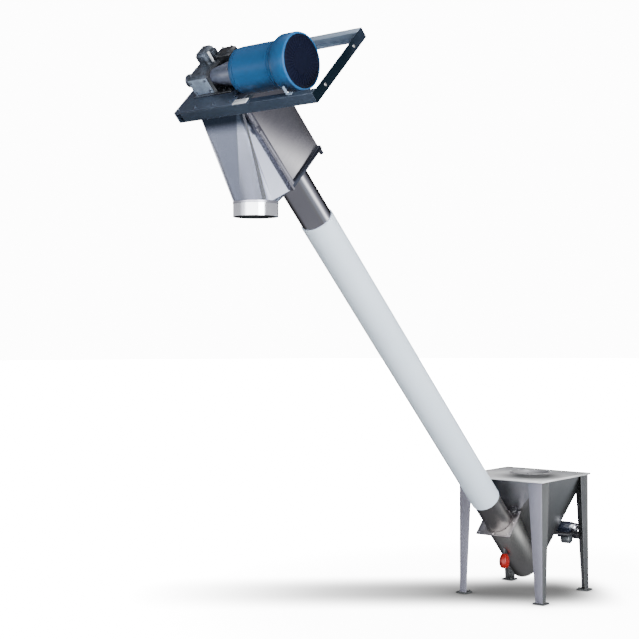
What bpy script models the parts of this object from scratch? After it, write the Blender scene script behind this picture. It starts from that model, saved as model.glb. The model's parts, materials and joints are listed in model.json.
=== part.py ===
"""Screw conveyor: floor hopper on four legs, inclined tube, discharge housing, gear reducer and motor.

Row frame: the conveying line rises toward -X in the XZ plane, Z is up, and the origin lies under the foot
at the stand's corner toward -X and -Y. The line frame has its x axis toward -Y, its y axis square to the
tube and upward, and its z axis along the tube, from the point where the tube's axis passes over the middle
of the stand.
"""

import math

import bmesh
import bpy
from mathutils import Matrix, Vector

# Conveying line
INCLINE = math.radians(45.0)
AXIS_HEIGHT = 0.1644
TUBE_RADIUS = 0.084
STUB_RADIUS = 0.0785
TUBE_WALL = 0.005
BOOT_START = -0.015
BOOT_END = 0.392
FLANGE_THICK = 0.010
TUBE_START = 0.605
TUBE_END = 2.714
HOUSING_START = 3.014
HOUSING_END = 3.505
FRAME_BOTTOM = 3.497
FRAME_TOP = 3.547

# Hopper stand
STAND_WIDTH = 0.551
DECK_HEIGHT = 0.698
DECK_OVERHANG = 0.012
DECK_THICK = 0.004
DECK_LIP = 0.012
FOOT_SIZE = 0.070
FOOT_THICK = 0.008
FOOT_OVERHANG = 0.017
LEG_SHEET = 0.004
LEG_TOP_WIDTH = 0.088
LEG_FOOT_WIDTH = 0.044
HOPPER_SHEET = 0.003
HOPPER_MARGIN = 0.001
INLET_RADIUS = 0.112
INLET_X = 0.075
TROUGH_LOW_RIM = 0.034
TROUGH_HIGH_RIM = 0.086

VIBRATOR_DROP = 0.373
VIBRATOR_SHELF = 0.347
VIBRATOR_X = 0.190
VIBRATOR_NEAR = -0.215
VIBRATOR_RADIUS = 0.031
CLEAN_OUT_AT = 0.235
CLEAN_OUT_NECK = 0.016
CLEAN_OUT_RADIUS = 0.018

# Discharge housing and chute
HOUSING_HALF_WIDTH = 0.1135
HOUSING_BELOW = -0.140
HOUSING_ABOVE = 0.145
HOUSING_SHEET = 0.003
FLANGE_STEP = 0.006
FLANGE_OUT = 0.018
LATCH_AT = 3.355
BOTTOM_RIM = 0.008
BOTTOM_THICK = 0.020
TOP_STEP = 0.012
SPOUT_X = -2.352
SPOUT_Z = 2.068
SPOUT_RADIUS = 0.103
SPOUT_HEIGHT = 0.069
CHUTE_SHEET = 0.003
CHUTE_OUTER_Y = -0.173

# Drive frame
FRAME_LEFT = -0.204
FRAME_RIGHT = 0.602
FRAME_FRONT = -0.221
FRAME_REAR = 0.240
PLATE_RIGHT = 0.147
PLATE_NOTCH = 0.122
PLATE_THICK = 0.006
RAIL_LEG = 0.034
RAIL_THICK = 0.004
END_THICK = 0.006

# Gear reducer and motor
MOTOR_Y = -0.0735
MOTOR_Z = 3.6155
MOTOR_RADIUS = 0.103
MOTOR_START = 0.143
COVER_START = 0.405
COVER_END = 0.497
COVER_RADIUS = 0.123
CASE_LEFT = -0.134
CASE_SPLIT = -0.004
CASE_FRONT = -0.118
CASE_REAR = 0.056
CASE_TOP = 3.652
CAP_RADIUS = 0.030
CONE_SMALL = 0.034
CONE_LARGE = 0.062

# Screw
SHAFT_RADIUS = 0.030
FLIGHT_START = 0.022
FLIGHT_RADIUS = 0.066
FLIGHT_THICK = 0.005
FLIGHT_PITCH = 0.130
FLIGHT_TURNS = 23
FLIGHT_STEPS = 14

GAP = 0.0003
RIM_GAP = 0.0009
ROUND_STEPS = 48
HALF = STAND_WIDTH / 2

PAINTED_STEEL = ((0.32, 0.33, 0.36), 0.45, 0.3)
STAINLESS = ((0.48, 0.47, 0.46), 0.35, 1.0)
WHITE_PIPE = ((0.72, 0.75, 0.77), 0.45, 0.0)
FRAME_PAINT = ((0.05, 0.065, 0.085), 0.5, 0.0)
CAST_GREY = ((0.16, 0.17, 0.19), 0.5, 0.4)
MOTOR_BLUE = ((0.045, 0.16, 0.33), 0.4, 0.0)
COVER_NAVY = ((0.012, 0.02, 0.05), 0.45, 0.0)
KNOB_RED = ((0.65, 0.05, 0.03), 0.4, 0.0)
DARK_STEEL = ((0.05, 0.05, 0.055), 0.4, 0.8)

CENTRE = HALF + FOOT_OVERHANG - FOOT_SIZE / 2
WORLD = Matrix.Translation((CENTRE, CENTRE, 0.0))
LINE = WORLD @ Matrix(((0.0, math.cos(INCLINE), -math.sin(INCLINE), 0.0),
                       (-1.0, 0.0, 0.0, 0.0),
                       (0.0, math.sin(INCLINE), math.cos(INCLINE), AXIS_HEIGHT),
                       (0.0, 0.0, 0.0, 1.0)))


def clear_scene():
    """Remove every object of the open file."""
    for item in list(bpy.data.objects):
        bpy.data.objects.remove(item, do_unlink=True)


def make_finish(name, finish):
    """Make the Principled material of one piece."""
    colour, roughness, metallic = finish
    material = bpy.data.materials.new(name)
    material.use_nodes = True
    shader = material.node_tree.nodes["Principled BSDF"]
    shader.inputs["Base Color"].default_value = (*colour, 1.0)
    shader.inputs["Roughness"].default_value = roughness
    shader.inputs["Metallic"].default_value = metallic
    material.diffuse_color = (*colour, 1.0)
    return material


def add_piece(name, mesh_data, finish, place, smooth=False):
    """Make a named object from a bmesh, with its faces pointing out."""
    bmesh.ops.recalc_face_normals(mesh_data, faces=mesh_data.faces)
    mesh = bpy.data.meshes.new(name)
    mesh_data.to_mesh(mesh)
    mesh_data.free()
    mesh.materials.append(make_finish(name, finish))
    if smooth:
        mesh.shade_smooth()
        mesh.set_sharp_from_angle(angle=math.radians(35.0))
    piece = bpy.data.objects.new(name, mesh)
    bpy.context.scene.collection.objects.link(piece)
    piece.parent = bpy.data.objects["screw_conveyor"]
    piece.matrix_world = place
    return piece


def add_box(mesh_data, low, high):
    """Add a box between two corners."""
    size = Vector(high) - Vector(low)
    centre = (Vector(high) + Vector(low)) / 2
    shape = Matrix.Translation(centre) @ Matrix.Diagonal((*size, 1.0))
    bmesh.ops.create_cube(mesh_data, size=1.0, matrix=shape)


def add_loft(mesh_data, sections, closed=False):
    """Bridge matching loops of points, closing the two ends or joining the last loop to the first."""
    loops = [[mesh_data.verts.new(point) for point in section] for section in sections]
    count = len(loops[0])
    pairs = list(zip(loops, loops[1:]))
    if closed:
        pairs.append((loops[-1], loops[0]))
    for lower, upper in pairs:
        for index in range(count):
            following = (index + 1) % count
            mesh_data.faces.new((lower[index], lower[following], upper[following], upper[index]))
    if not closed:
        mesh_data.faces.new(list(reversed(loops[0])))
        mesh_data.faces.new(loops[-1])


def turned(profile, steps=ROUND_STEPS, centre=(0.0, 0.0)):
    """Sections of a closed (radius, height) profile turned round an upright axis."""
    sections = []
    for step in range(steps):
        angle = 2 * math.pi * step / steps
        sections.append([(centre[0] + radius * math.cos(angle), centre[1] + radius * math.sin(angle), height)
                         for radius, height in profile])
    return sections


def circle_points(radius, height, steps=ROUND_STEPS, centre=(0.0, 0.0), start=0.0):
    """Points round a circle at one height."""
    return [(centre[0] + radius * math.cos(start + 2 * math.pi * step / steps),
             centre[1] + radius * math.sin(start + 2 * math.pi * step / steps), height)
            for step in range(steps)]


def ring_mesh(outer, inner, bottom, top, steps=ROUND_STEPS):
    """A plain tube along z."""
    mesh_data = bmesh.new()
    profile = [(outer, bottom), (outer, top), (inner, top), (inner, bottom)]
    add_loft(mesh_data, turned(profile, steps), closed=True)
    return mesh_data


def solid_mesh(levels, steps=ROUND_STEPS, centre=(0.0, 0.0)):
    """A solid of turned levels, each a (radius, height)."""
    mesh_data = bmesh.new()
    add_loft(mesh_data, [circle_points(radius, height, steps, centre) for radius, height in levels])
    return mesh_data


def box_mesh(*boxes):
    """A mesh of one or more boxes, each given by two corners."""
    mesh_data = bmesh.new()
    for low, high in boxes:
        add_box(mesh_data, low, high)
    return mesh_data


def prism_mesh(outline, bottom, top):
    """Extrude a flat outline along z."""
    mesh_data = bmesh.new()
    add_loft(mesh_data, [[(x, y, bottom) for x, y in outline], [(x, y, top) for x, y in outline]])
    return mesh_data


def cut(piece, cutter):
    """Cut one object out of another and drop the cutter."""
    modifier = piece.modifiers.new("cut", "BOOLEAN")
    modifier.operation = "DIFFERENCE"
    modifier.object = cutter
    apply_modifiers(piece)
    bpy.data.objects.remove(cutter, do_unlink=True)


def join(piece, other):
    """Unite another object with this one and drop it."""
    modifier = piece.modifiers.new("join", "BOOLEAN")
    modifier.operation = "UNION"
    modifier.object = other
    apply_modifiers(piece)
    bpy.data.objects.remove(other, do_unlink=True)


def apply_modifiers(piece):
    """Replace an object's mesh by its evaluated one."""
    bpy.context.view_layer.update()
    evaluated = piece.evaluated_get(bpy.context.evaluated_depsgraph_get())
    mesh = bpy.data.meshes.new_from_object(evaluated)
    piece.modifiers.clear()
    piece.data = mesh


def corner_matrix(side_x, side_y):
    """Place a leg's own corner at one corner of the stand, turned so that its flanges point inward."""
    turns = {(-1, -1): 0.0, (1, -1): 90.0, (1, 1): 180.0, (-1, 1): 270.0}
    turn = Matrix.Rotation(math.radians(turns[(side_x, side_y)]), 4, "Z")
    return WORLD @ Matrix.Translation((side_x * HALF, side_y * HALF, 0.0)) @ turn


def angle_outline(width, sheet):
    """L outline with its outer corner at the origin."""
    return [(0.0, 0.0), (width, 0.0), (width, sheet), (sheet, sheet), (sheet, width), (0.0, width)]


def build_stand():
    """Four tapered angle legs on square pads."""
    corners = {"front": (-1, -1), "left": (-1, 1), "right": (1, -1), "rear": (1, 1)}
    for label, (side_x, side_y) in corners.items():
        place = corner_matrix(side_x, side_y)
        leg = bmesh.new()
        bottom = FOOT_THICK + GAP
        top = DECK_HEIGHT - DECK_THICK - GAP
        sections = [[(x, y, bottom) for x, y in angle_outline(LEG_FOOT_WIDTH, LEG_SHEET)],
                    [(x, y, top) for x, y in angle_outline(LEG_TOP_WIDTH, LEG_SHEET)]]
        add_loft(leg, sections)
        add_piece(f"leg_{label}", leg, PAINTED_STEEL, place)
        edge = -FOOT_OVERHANG
        pad = box_mesh(((edge, edge, 0.0), (edge + FOOT_SIZE, edge + FOOT_SIZE, FOOT_THICK)))
        add_piece(f"foot_{label}", pad, PAINTED_STEEL, place)


def build_deck():
    """Flat deck with a folded lip and a round inlet with its collar."""
    half = HALF + DECK_OVERHANG
    lip = bmesh.new()
    levels = [(half, DECK_HEIGHT), (half, DECK_HEIGHT - DECK_LIP),
              (half - DECK_THICK, DECK_HEIGHT - DECK_LIP), (half - DECK_THICK, DECK_HEIGHT - DECK_THICK)]
    sections = []
    for reach, height in levels:
        sections.append([(-reach, -reach, height), (reach, -reach, height),
                         (reach, reach, height), (-reach, reach, height)])
    add_loft(lip, sections)
    deck = add_piece("hopper_deck", lip, PAINTED_STEEL, WORLD)
    hole = add_piece("inlet_cutter", solid_mesh([(INLET_RADIUS, 0.5), (INLET_RADIUS, 0.9)],
                                                centre=(INLET_X, 0.0)), PAINTED_STEEL, WORLD)
    cut(deck, hole)
    profile = [(INLET_RADIUS - 0.004, DECK_HEIGHT - 0.03), (INLET_RADIUS - GAP, DECK_HEIGHT - 0.03),
               (INLET_RADIUS - GAP, DECK_HEIGHT + GAP), (INLET_RADIUS + 0.012, DECK_HEIGHT + GAP),
               (INLET_RADIUS + 0.012, DECK_HEIGHT + 0.004), (INLET_RADIUS - 0.004, DECK_HEIGHT + 0.004)]
    collar = bmesh.new()
    add_loft(collar, turned(profile, centre=(INLET_X, 0.0)), closed=True)
    add_piece("inlet_collar", collar, PAINTED_STEEL, WORLD, smooth=True)


def line_point(x, y, z):
    """World point, from the stand's middle, of a point given in the line frame."""
    return WORLD.inverted() @ (LINE @ Vector((x, y, z)))


def hopper_corners(sheet):
    """Corners of the hopper's skin, moved inward by a sheet thickness."""
    top = DECK_HEIGHT - DECK_THICK - GAP
    reach = HALF - LEG_SHEET - HOPPER_MARGIN - sheet
    side = TUBE_RADIUS - sheet
    high = line_point(0.0, TROUGH_HIGH_RIM + RIM_GAP, BOOT_END - 0.004 - sheet)
    low = line_point(0.0, TROUGH_LOW_RIM + RIM_GAP, BOOT_START + sheet)
    return {"front": ((-reach, top), (high.x, high.z)), "back": ((reach, top), (low.x, low.z)),
            "reach": reach, "side": side}


def hopper_wall(first, second, name):
    """One wall between two corner edges; each edge is a top and a bottom point, outside and inside."""
    wall = bmesh.new()
    loops = []
    for outside, inside in (first, second):
        loops.append([outside[0], outside[1], inside[1], inside[0]])
    verts = [[wall.verts.new(point) for point in loop] for loop in loops]
    for index in range(4):
        following = (index + 1) % 4
        quad = (verts[0][index], verts[0][following], verts[1][following], verts[1][index])
        if index == 2:
            quad = quad[1:] + quad[:1]
        wall.faces.new(quad[:3])
        wall.faces.new((quad[0], quad[2], quad[3]))
    wall.faces.new(list(reversed(verts[0])))
    wall.faces.new(verts[1])
    add_piece(name, wall, STAINLESS, WORLD)


def build_hopper():
    """Four sheet walls that run from the deck down to the trough's rims."""
    skins = [hopper_corners(0.0), hopper_corners(HOPPER_SHEET)]

    def edge(end, side_y, shift):
        points = []
        for skin in skins:
            (top_x, top_z), (low_x, low_z) = skin[end]
            top = Vector((top_x, side_y * skin["reach"], top_z))
            low = Vector((low_x, side_y * skin["side"], low_z))
            points.append((top + shift, low + shift))
        return points

    along = Vector((GAP, 0.0, 0.0))
    across = Vector((0.0, GAP, 0.0))
    hopper_wall(edge("front", -1, along), edge("back", -1, -along), "hopper_near_wall")
    hopper_wall(edge("front", 1, along), edge("back", 1, -along), "hopper_far_wall")
    hopper_wall(edge("front", -1, across), edge("front", 1, -across), "hopper_front_wall")
    hopper_wall(edge("back", -1, across), edge("back", 1, -across), "hopper_back_wall")


def trough_outline(rim, radius):
    """Half circle below with straight sides up to a rim height."""
    steps = ROUND_STEPS // 2
    points = [(radius * math.cos(math.pi + math.pi * step / steps),
               radius * math.sin(math.pi + math.pi * step / steps)) for step in range(steps + 1)]
    return [(-radius, rim)] + points + [(radius, rim)]


def build_boot():
    """Open trough under the hopper, its end plate and the flange that takes the tube."""
    trough = bmesh.new()
    sections = []
    for height, rim in ((BOOT_START, TROUGH_LOW_RIM), (BOOT_END, TROUGH_HIGH_RIM)):
        outer = trough_outline(rim, TUBE_RADIUS)
        inner = trough_outline(rim, TUBE_RADIUS - HOPPER_SHEET)
        sections.append([(x, y, height) for x, y in outer + list(reversed(inner))])
    add_loft(trough, sections)
    add_piece("boot_trough", trough, STAINLESS, LINE, smooth=True)
    end_outline = trough_outline(TROUGH_LOW_RIM, TUBE_RADIUS)
    end = prism_mesh(end_outline, BOOT_START - 0.004 - GAP, BOOT_START - GAP)
    add_piece("boot_end_plate", end, STAINLESS, LINE)
    plate = box_mesh(((-0.111, -0.101, BOOT_END + GAP), (0.111, 0.084, BOOT_END + FLANGE_THICK)))
    flange = add_piece("boot_flange", plate, STAINLESS, LINE)
    bore = add_piece("flange_cutter", solid_mesh([(STUB_RADIUS - TUBE_WALL, BOOT_END - 0.05),
                                                  (STUB_RADIUS - TUBE_WALL, BOOT_END + 0.05)]),
                     STAINLESS, LINE)
    cut(flange, bore)


def build_tubes():
    """Steel stubs at both ends of the white conveying tube, which slips over them."""
    lower = BOOT_END + FLANGE_THICK + GAP
    stub_bore = STUB_RADIUS - TUBE_WALL
    overlap = 0.06
    add_piece("lower_tube", ring_mesh(STUB_RADIUS, stub_bore, lower, TUBE_START + overlap), STAINLESS, LINE,
              smooth=True)
    add_piece("conveyor_tube", ring_mesh(TUBE_RADIUS, STUB_RADIUS + GAP, TUBE_START, TUBE_END), WHITE_PIPE,
              LINE, smooth=True)
    add_piece("upper_tube", ring_mesh(STUB_RADIUS, stub_bore, TUBE_END - overlap, HOUSING_START - GAP),
              STAINLESS, LINE, smooth=True)


def build_auger():
    """Screw: a helical flight on a shaft from the boot up to the gear reducer."""
    flight = bmesh.new()
    total = FLIGHT_TURNS * FLIGHT_STEPS
    sections = []
    for step in range(total + 1):
        angle = 2 * math.pi * step / FLIGHT_STEPS
        rise = FLIGHT_START + FLIGHT_PITCH * step / FLIGHT_STEPS
        inner = SHAFT_RADIUS - 0.004
        ring = [(inner, 0.0), (FLIGHT_RADIUS, 0.0), (FLIGHT_RADIUS, FLIGHT_THICK), (inner, FLIGHT_THICK)]
        sections.append([(radius * math.cos(angle), radius * math.sin(angle), rise + lift)
                         for radius, lift in ring])
    add_loft(flight, sections)
    auger = add_piece("auger", flight, DARK_STEEL, LINE)
    levels = [(SHAFT_RADIUS, BOOT_START + GAP), (SHAFT_RADIUS, FRAME_TOP + PLATE_THICK)]
    shaft = add_piece("auger_shaft", solid_mesh(levels, steps=20), DARK_STEEL, LINE)
    join(auger, shaft)


def build_clean_out():
    """Knobbed clean-out plug that hangs straight down from the trough."""
    base = line_point(0.0, -TUBE_RADIUS - GAP, CLEAN_OUT_AT)
    low = base.z - CLEAN_OUT_NECK
    stub = bmesh.new()
    foot = circle_points(CLEAN_OUT_RADIUS, low, 24, (base.x, base.y))
    head = [(x, y, base.z - (x - base.x) * math.tan(INCLINE) - GAP) for x, y, _ in foot]
    add_loft(stub, [foot, head])
    add_piece("clean_out_stub", stub, DARK_STEEL, WORLD, smooth=True)
    levels = [(0.008, -0.086), (0.018, -0.082), (0.026, -0.070), (0.031, -0.050), (0.031, -0.034),
              (0.027, -0.016), (0.018, -0.004), (0.010, -GAP)]
    knob = solid_mesh([(radius, low + drop) for radius, drop in levels], 24, (base.x, base.y))
    add_piece("clean_out_knob", knob, KNOB_RED, WORLD, smooth=True)


def wall_frame(drop):
    """Frame on the back wall's middle line: z along the wall's outward normal, y up the wall."""
    (top_x, top_z), (low_x, low_z) = hopper_corners(0.0)["back"]
    upward = Vector((top_x - low_x, 0.0, top_z - low_z)).normalized()
    normal = Vector((upward.z, 0.0, -upward.x))
    point = Vector((top_x, 0.0, top_z)) - upward * drop
    side = upward.cross(normal)
    axes = Matrix((side, upward, normal)).transposed().to_4x4()
    return WORLD @ Matrix.Translation(point) @ axes


def along_y(levels, x, z, steps=32):
    """Turned solid along y, each level a (radius, y)."""
    mesh_data = bmesh.new()
    sections = []
    for radius, y in levels:
        sections.append([(x + radius * math.sin(2 * math.pi * step / steps), y,
                          z + radius * math.cos(2 * math.pi * step / steps)) for step in range(steps)])
    add_loft(mesh_data, sections)
    return mesh_data


def build_vibrator():
    """Vibrator on a black shelf bracket that is fixed to the sloping back wall near its edge."""
    plate = box_mesh(((-0.130, -0.045, GAP), (-0.080, 0.045, 0.008)))
    bracket = add_piece("vibrator_bracket", plate, DARK_STEEL, wall_frame(VIBRATOR_DROP))
    shelf = [(0.1165, VIBRATOR_SHELF - 0.012), (0.238, VIBRATOR_SHELF - 0.012), (0.238, VIBRATOR_SHELF - 0.045),
             (0.250, VIBRATOR_SHELF - 0.045), (0.250, VIBRATOR_SHELF), (0.1165, VIBRATOR_SHELF)]
    arm = bmesh.new()
    add_loft(arm, [[(x, y, z) for x, z in shelf] for y in (-0.230, -0.088)])
    join(bracket, add_piece("vibrator_shelf", arm, DARK_STEEL, WORLD))
    height = VIBRATOR_SHELF + VIBRATOR_RADIUS
    levels = [(VIBRATOR_RADIUS - 0.003, VIBRATOR_NEAR), (VIBRATOR_RADIUS, VIBRATOR_NEAR + 0.004),
              (VIBRATOR_RADIUS, -0.099), (VIBRATOR_RADIUS - 0.004, -0.095)]
    body = add_piece("vibrator_body", along_y(levels, VIBRATOR_X, height + 2 * GAP), COVER_NAVY, WORLD, smooth=True)
    block = box_mesh(((VIBRATOR_X - 0.022, -0.200, VIBRATOR_SHELF + GAP), (VIBRATOR_X + 0.022, -0.110, height)))
    join(body, add_piece("vibrator_block", block, COVER_NAVY, WORLD))
    levels = [(VIBRATOR_RADIUS - 0.010, VIBRATOR_NEAR - 0.032), (VIBRATOR_RADIUS - 0.004, VIBRATOR_NEAR - 0.026),
              (VIBRATOR_RADIUS - 0.004, VIBRATOR_NEAR - GAP)]
    add_piece("vibrator_cap", along_y(levels, VIBRATOR_X, height), STAINLESS, WORLD, smooth=True)
    low = VIBRATOR_SHELF - 0.012
    levels = [(0.022, -0.206), (0.027, -0.200), (0.027, -0.150)]
    foot = add_piece("vibrator_foot", along_y(levels, VIBRATOR_X, low - 0.030), CAST_GREY, WORLD, smooth=True)
    neck = box_mesh(((VIBRATOR_X - 0.014, -0.194, low - 0.030), (VIBRATOR_X + 0.014, -0.156, low - GAP)))
    join(foot, add_piece("vibrator_neck", neck, CAST_GREY, WORLD))


def build_flange_clamp():
    """Round clamp knob on the upper face of the boot flange at its near upper corner."""
    low = BOOT_END + FLANGE_THICK + GAP
    levels = [(0.012, low), (0.012, low + 0.008), (0.022, low + 0.010), (0.022, low + 0.030), (0.016, low + 0.036)]
    add_piece("flange_clamp", solid_mesh(levels, 24, (0.081, 0.068)), DARK_STEEL, LINE, smooth=True)


def housing_outline():
    """U outline of the housing's folded sheet, open toward the chute."""
    half = HOUSING_HALF_WIDTH
    inner = half - HOUSING_SHEET
    return [(-half, HOUSING_BELOW), (-half, HOUSING_ABOVE), (half, HOUSING_ABOVE), (half, HOUSING_BELOW),
            (inner, HOUSING_BELOW), (inner, HOUSING_ABOVE - HOUSING_SHEET),
            (-inner, HOUSING_ABOVE - HOUSING_SHEET), (-inner, HOUSING_BELOW)]


def top_plate_mesh(half, back):
    """Plate over the housing and chute, with a thick middle that reaches the frame plate between its rails."""
    low = HOUSING_END + GAP
    step = HOUSING_END + TOP_STEP - GAP
    high = FRAME_TOP - GAP
    front = CHUTE_OUTER_Y - 0.006
    seat = HOUSING_BELOW - 0.006
    outline = [(front, low), (back, low), (back, high), (seat, high), (seat, step), (front, step)]
    plate = bmesh.new()
    add_loft(plate, [[(x, y, z) for y, z in outline] for x in (-half, half)])
    return plate


def build_housing():
    """Folded sheet housing between its bottom plate and top plate, with the flange for the chute."""
    thick = BOTTOM_THICK
    shell = prism_mesh(housing_outline(), HOUSING_START + thick + GAP, HOUSING_END - GAP)
    add_piece("housing_shell", shell, STAINLESS, LINE)
    rim = 0.012
    half = HOUSING_HALF_WIDTH
    bottom = add_piece("housing_bottom_plate",
                       box_mesh(((-half - BOTTOM_RIM, HOUSING_BELOW, HOUSING_START),
                                 (half + BOTTOM_RIM, HOUSING_ABOVE + BOTTOM_RIM, HOUSING_START + thick))),
                       STAINLESS, LINE)
    bore = add_piece("bottom_cutter", solid_mesh([(STUB_RADIUS - TUBE_WALL, HOUSING_START - 0.05),
                                                  (STUB_RADIUS - TUBE_WALL, HOUSING_START + 0.05)]),
                     STAINLESS, LINE)
    cut(bottom, bore)
    top = add_piece("housing_top_plate", top_plate_mesh(half + rim, HOUSING_ABOVE + rim), STAINLESS, LINE)
    shaft_hole = add_piece("top_cutter", solid_mesh([(SHAFT_RADIUS + 0.002, HOUSING_END - 0.05),
                                                     (SHAFT_RADIUS + 0.002, HOUSING_END + 0.1)], 20),
                           STAINLESS, LINE)
    cut(top, shaft_hole)
    for name, high in (("housing_flange", HOUSING_BELOW - GAP),
                       ("chute_flange", HOUSING_BELOW - FLANGE_STEP - GAP)):
        low = high - FLANGE_STEP + GAP
        flange = box_mesh(((-half - FLANGE_OUT, low, HOUSING_START),
                           (half + FLANGE_OUT, high, HOUSING_END - GAP)))
        piece = add_piece(name, flange, STAINLESS, LINE)
        window = box_mesh(((-half + 0.014, low - 0.02, HOUSING_START + 0.030),
                           (half - 0.014, high + 0.02, HOUSING_END - 0.014)))
        cut(piece, add_piece("window_cutter", window, STAINLESS, LINE))
    edge = half + FLANGE_OUT + GAP
    middle = HOUSING_BELOW - FLANGE_STEP
    latch = box_mesh(((edge, middle - 0.020, LATCH_AT - 0.028), (edge + 0.010, middle + 0.020, LATCH_AT + 0.028)))
    add_piece("door_latch", latch, DARK_STEEL, LINE)


def chute_loops(sheet):
    """Upper rim and lower circle of the square-to-round chute, moved inward by a sheet thickness."""
    half = HOUSING_HALF_WIDTH - sheet
    near = HOUSING_BELOW - 2 * FLANGE_STEP - GAP
    top = HOUSING_END - GAP
    low = HOUSING_START + 0.004 + sheet
    rim = [(CHUTE_OUTER_Y + sheet, top), (near, top), (near, low)]
    corners = [line_point(half, y, z) for y, z in rim]
    corners += [line_point(-half, y, z) for y, z in reversed(rim)]
    radius = SPOUT_RADIUS - sheet
    circle = []
    for step in range(ROUND_STEPS):
        angle = math.pi + 2 * math.pi * step / ROUND_STEPS
        circle.append(Vector((SPOUT_X + radius * math.cos(angle), radius * math.sin(angle),
                              SPOUT_Z + SPOUT_HEIGHT + GAP)))
    return corners, circle


def add_transition(mesh_data, corners, circle):
    """Skin between a six-cornered rim and a circle: cones at four corners, flats between them."""
    upper = [mesh_data.verts.new(point) for point in corners]
    lower = [mesh_data.verts.new(point) for point in circle]
    quarter = ROUND_STEPS // 4
    cones = {0: (0, quarter), 2: (quarter, 2 * quarter), 3: (2 * quarter, 3 * quarter),
             5: (3 * quarter, 4 * quarter)}
    for corner, (first, last) in cones.items():
        for step in range(first, last):
            mesh_data.faces.new((upper[corner], lower[step], lower[(step + 1) % ROUND_STEPS]))
    mesh_data.faces.new((upper[0], lower[quarter], upper[1]))
    mesh_data.faces.new((upper[1], lower[quarter], upper[2]))
    mesh_data.faces.new((upper[2], lower[2 * quarter], upper[3]))
    mesh_data.faces.new((upper[3], lower[3 * quarter], upper[4]))
    mesh_data.faces.new((upper[4], lower[3 * quarter], upper[5]))
    mesh_data.faces.new((upper[5], lower[0], upper[0]))
    return upper, lower


def build_chute():
    """Square-to-round chute from the housing down to the round spout."""
    chute = bmesh.new()
    outer_up, outer_low = add_transition(chute, *chute_loops(0.0))
    inner_up, inner_low = add_transition(chute, *chute_loops(CHUTE_SHEET))
    for outer, inner in ((outer_up, inner_up), (outer_low, inner_low)):
        count = len(outer)
        for index in range(count):
            following = (index + 1) % count
            quad = (outer[index], outer[following], inner[following], inner[index])
            chute.faces.new(quad[:3])
            chute.faces.new((quad[0], quad[2], quad[3]))
    add_piece("discharge_chute", chute, STAINLESS, WORLD, smooth=True)
    spout = ring_mesh(SPOUT_RADIUS, SPOUT_RADIUS - CHUTE_SHEET, SPOUT_Z, SPOUT_Z + SPOUT_HEIGHT)
    add_piece("discharge_spout", spout, STAINLESS, WORLD @ Matrix.Translation((SPOUT_X, 0.0, 0.0)),
              smooth=True)


def channel_outline(inward):
    """Channel section with its web outside and both flanges reaching inward, from the frame's bottom up."""
    low = FRAME_BOTTOM
    high = FRAME_TOP
    leg = inward * RAIL_LEG
    web = inward * RAIL_THICK
    return [(0.0, low), (leg, low), (leg, low + RAIL_THICK), (web, low + RAIL_THICK),
            (web, high - RAIL_THICK), (leg, high - RAIL_THICK), (leg, high), (0.0, high)]


def rail_along_x(start, end, corner, inward):
    """Channel rail along the motor's axis."""
    rail = bmesh.new()
    add_loft(rail, [[(x, corner + y, z) for y, z in channel_outline(inward)] for x in (start, end)])
    return rail


def rail_along_y(corner, inward):
    """Channel rail across the frame."""
    rail = bmesh.new()
    add_loft(rail, [[(corner + x, y, z) for x, z in channel_outline(inward)] for y in (FRAME_FRONT, FRAME_REAR)])
    return rail


def build_frame():
    """Drive frame: three channel rails, a flat end bar and the notched plate that carries the reducer."""
    inner_left = FRAME_LEFT + RAIL_LEG + GAP
    inner_right = FRAME_RIGHT - END_THICK - GAP
    add_piece("front_rail", rail_along_x(inner_left, inner_right, FRAME_FRONT, 1.0), FRAME_PAINT, LINE)
    add_piece("rear_rail", rail_along_x(inner_left, inner_right, FRAME_REAR, -1.0), FRAME_PAINT, LINE)
    add_piece("left_rail", rail_along_y(FRAME_LEFT, 1.0), FRAME_PAINT, LINE)
    bar = box_mesh(((FRAME_RIGHT - END_THICK, FRAME_FRONT, FRAME_BOTTOM), (FRAME_RIGHT, FRAME_REAR, FRAME_TOP)))
    add_piece("end_rail", bar, FRAME_PAINT, LINE)
    notch_low = MOTOR_Y - 0.090
    notch_high = MOTOR_Y + 0.090
    outline = [(FRAME_LEFT, FRAME_FRONT), (PLATE_RIGHT, FRAME_FRONT), (PLATE_RIGHT, notch_low),
               (PLATE_NOTCH, notch_low), (PLATE_NOTCH, notch_high), (PLATE_RIGHT, notch_high),
               (PLATE_RIGHT, FRAME_REAR), (FRAME_LEFT, FRAME_REAR)]
    plate = add_piece("frame_plate", prism_mesh(outline, FRAME_TOP + GAP, FRAME_TOP + PLATE_THICK), FRAME_PAINT,
                      LINE)
    hole = add_piece("plate_cutter", solid_mesh([(SHAFT_RADIUS + 0.002, FRAME_TOP - 0.05),
                                                 (SHAFT_RADIUS + 0.002, FRAME_TOP + 0.05)], 20),
                     FRAME_PAINT, LINE)
    cut(plate, hole)


def along_x(levels, steps=ROUND_STEPS):
    """Turned solid along the motor's axis, each level a (radius, x)."""
    mesh_data = bmesh.new()
    sections = []
    for radius, x in levels:
        sections.append([(x, MOTOR_Y + radius * math.cos(2 * math.pi * step / steps),
                          MOTOR_Z + radius * math.sin(2 * math.pi * step / steps)) for step in range(steps)])
    add_loft(mesh_data, sections)
    return mesh_data


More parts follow.
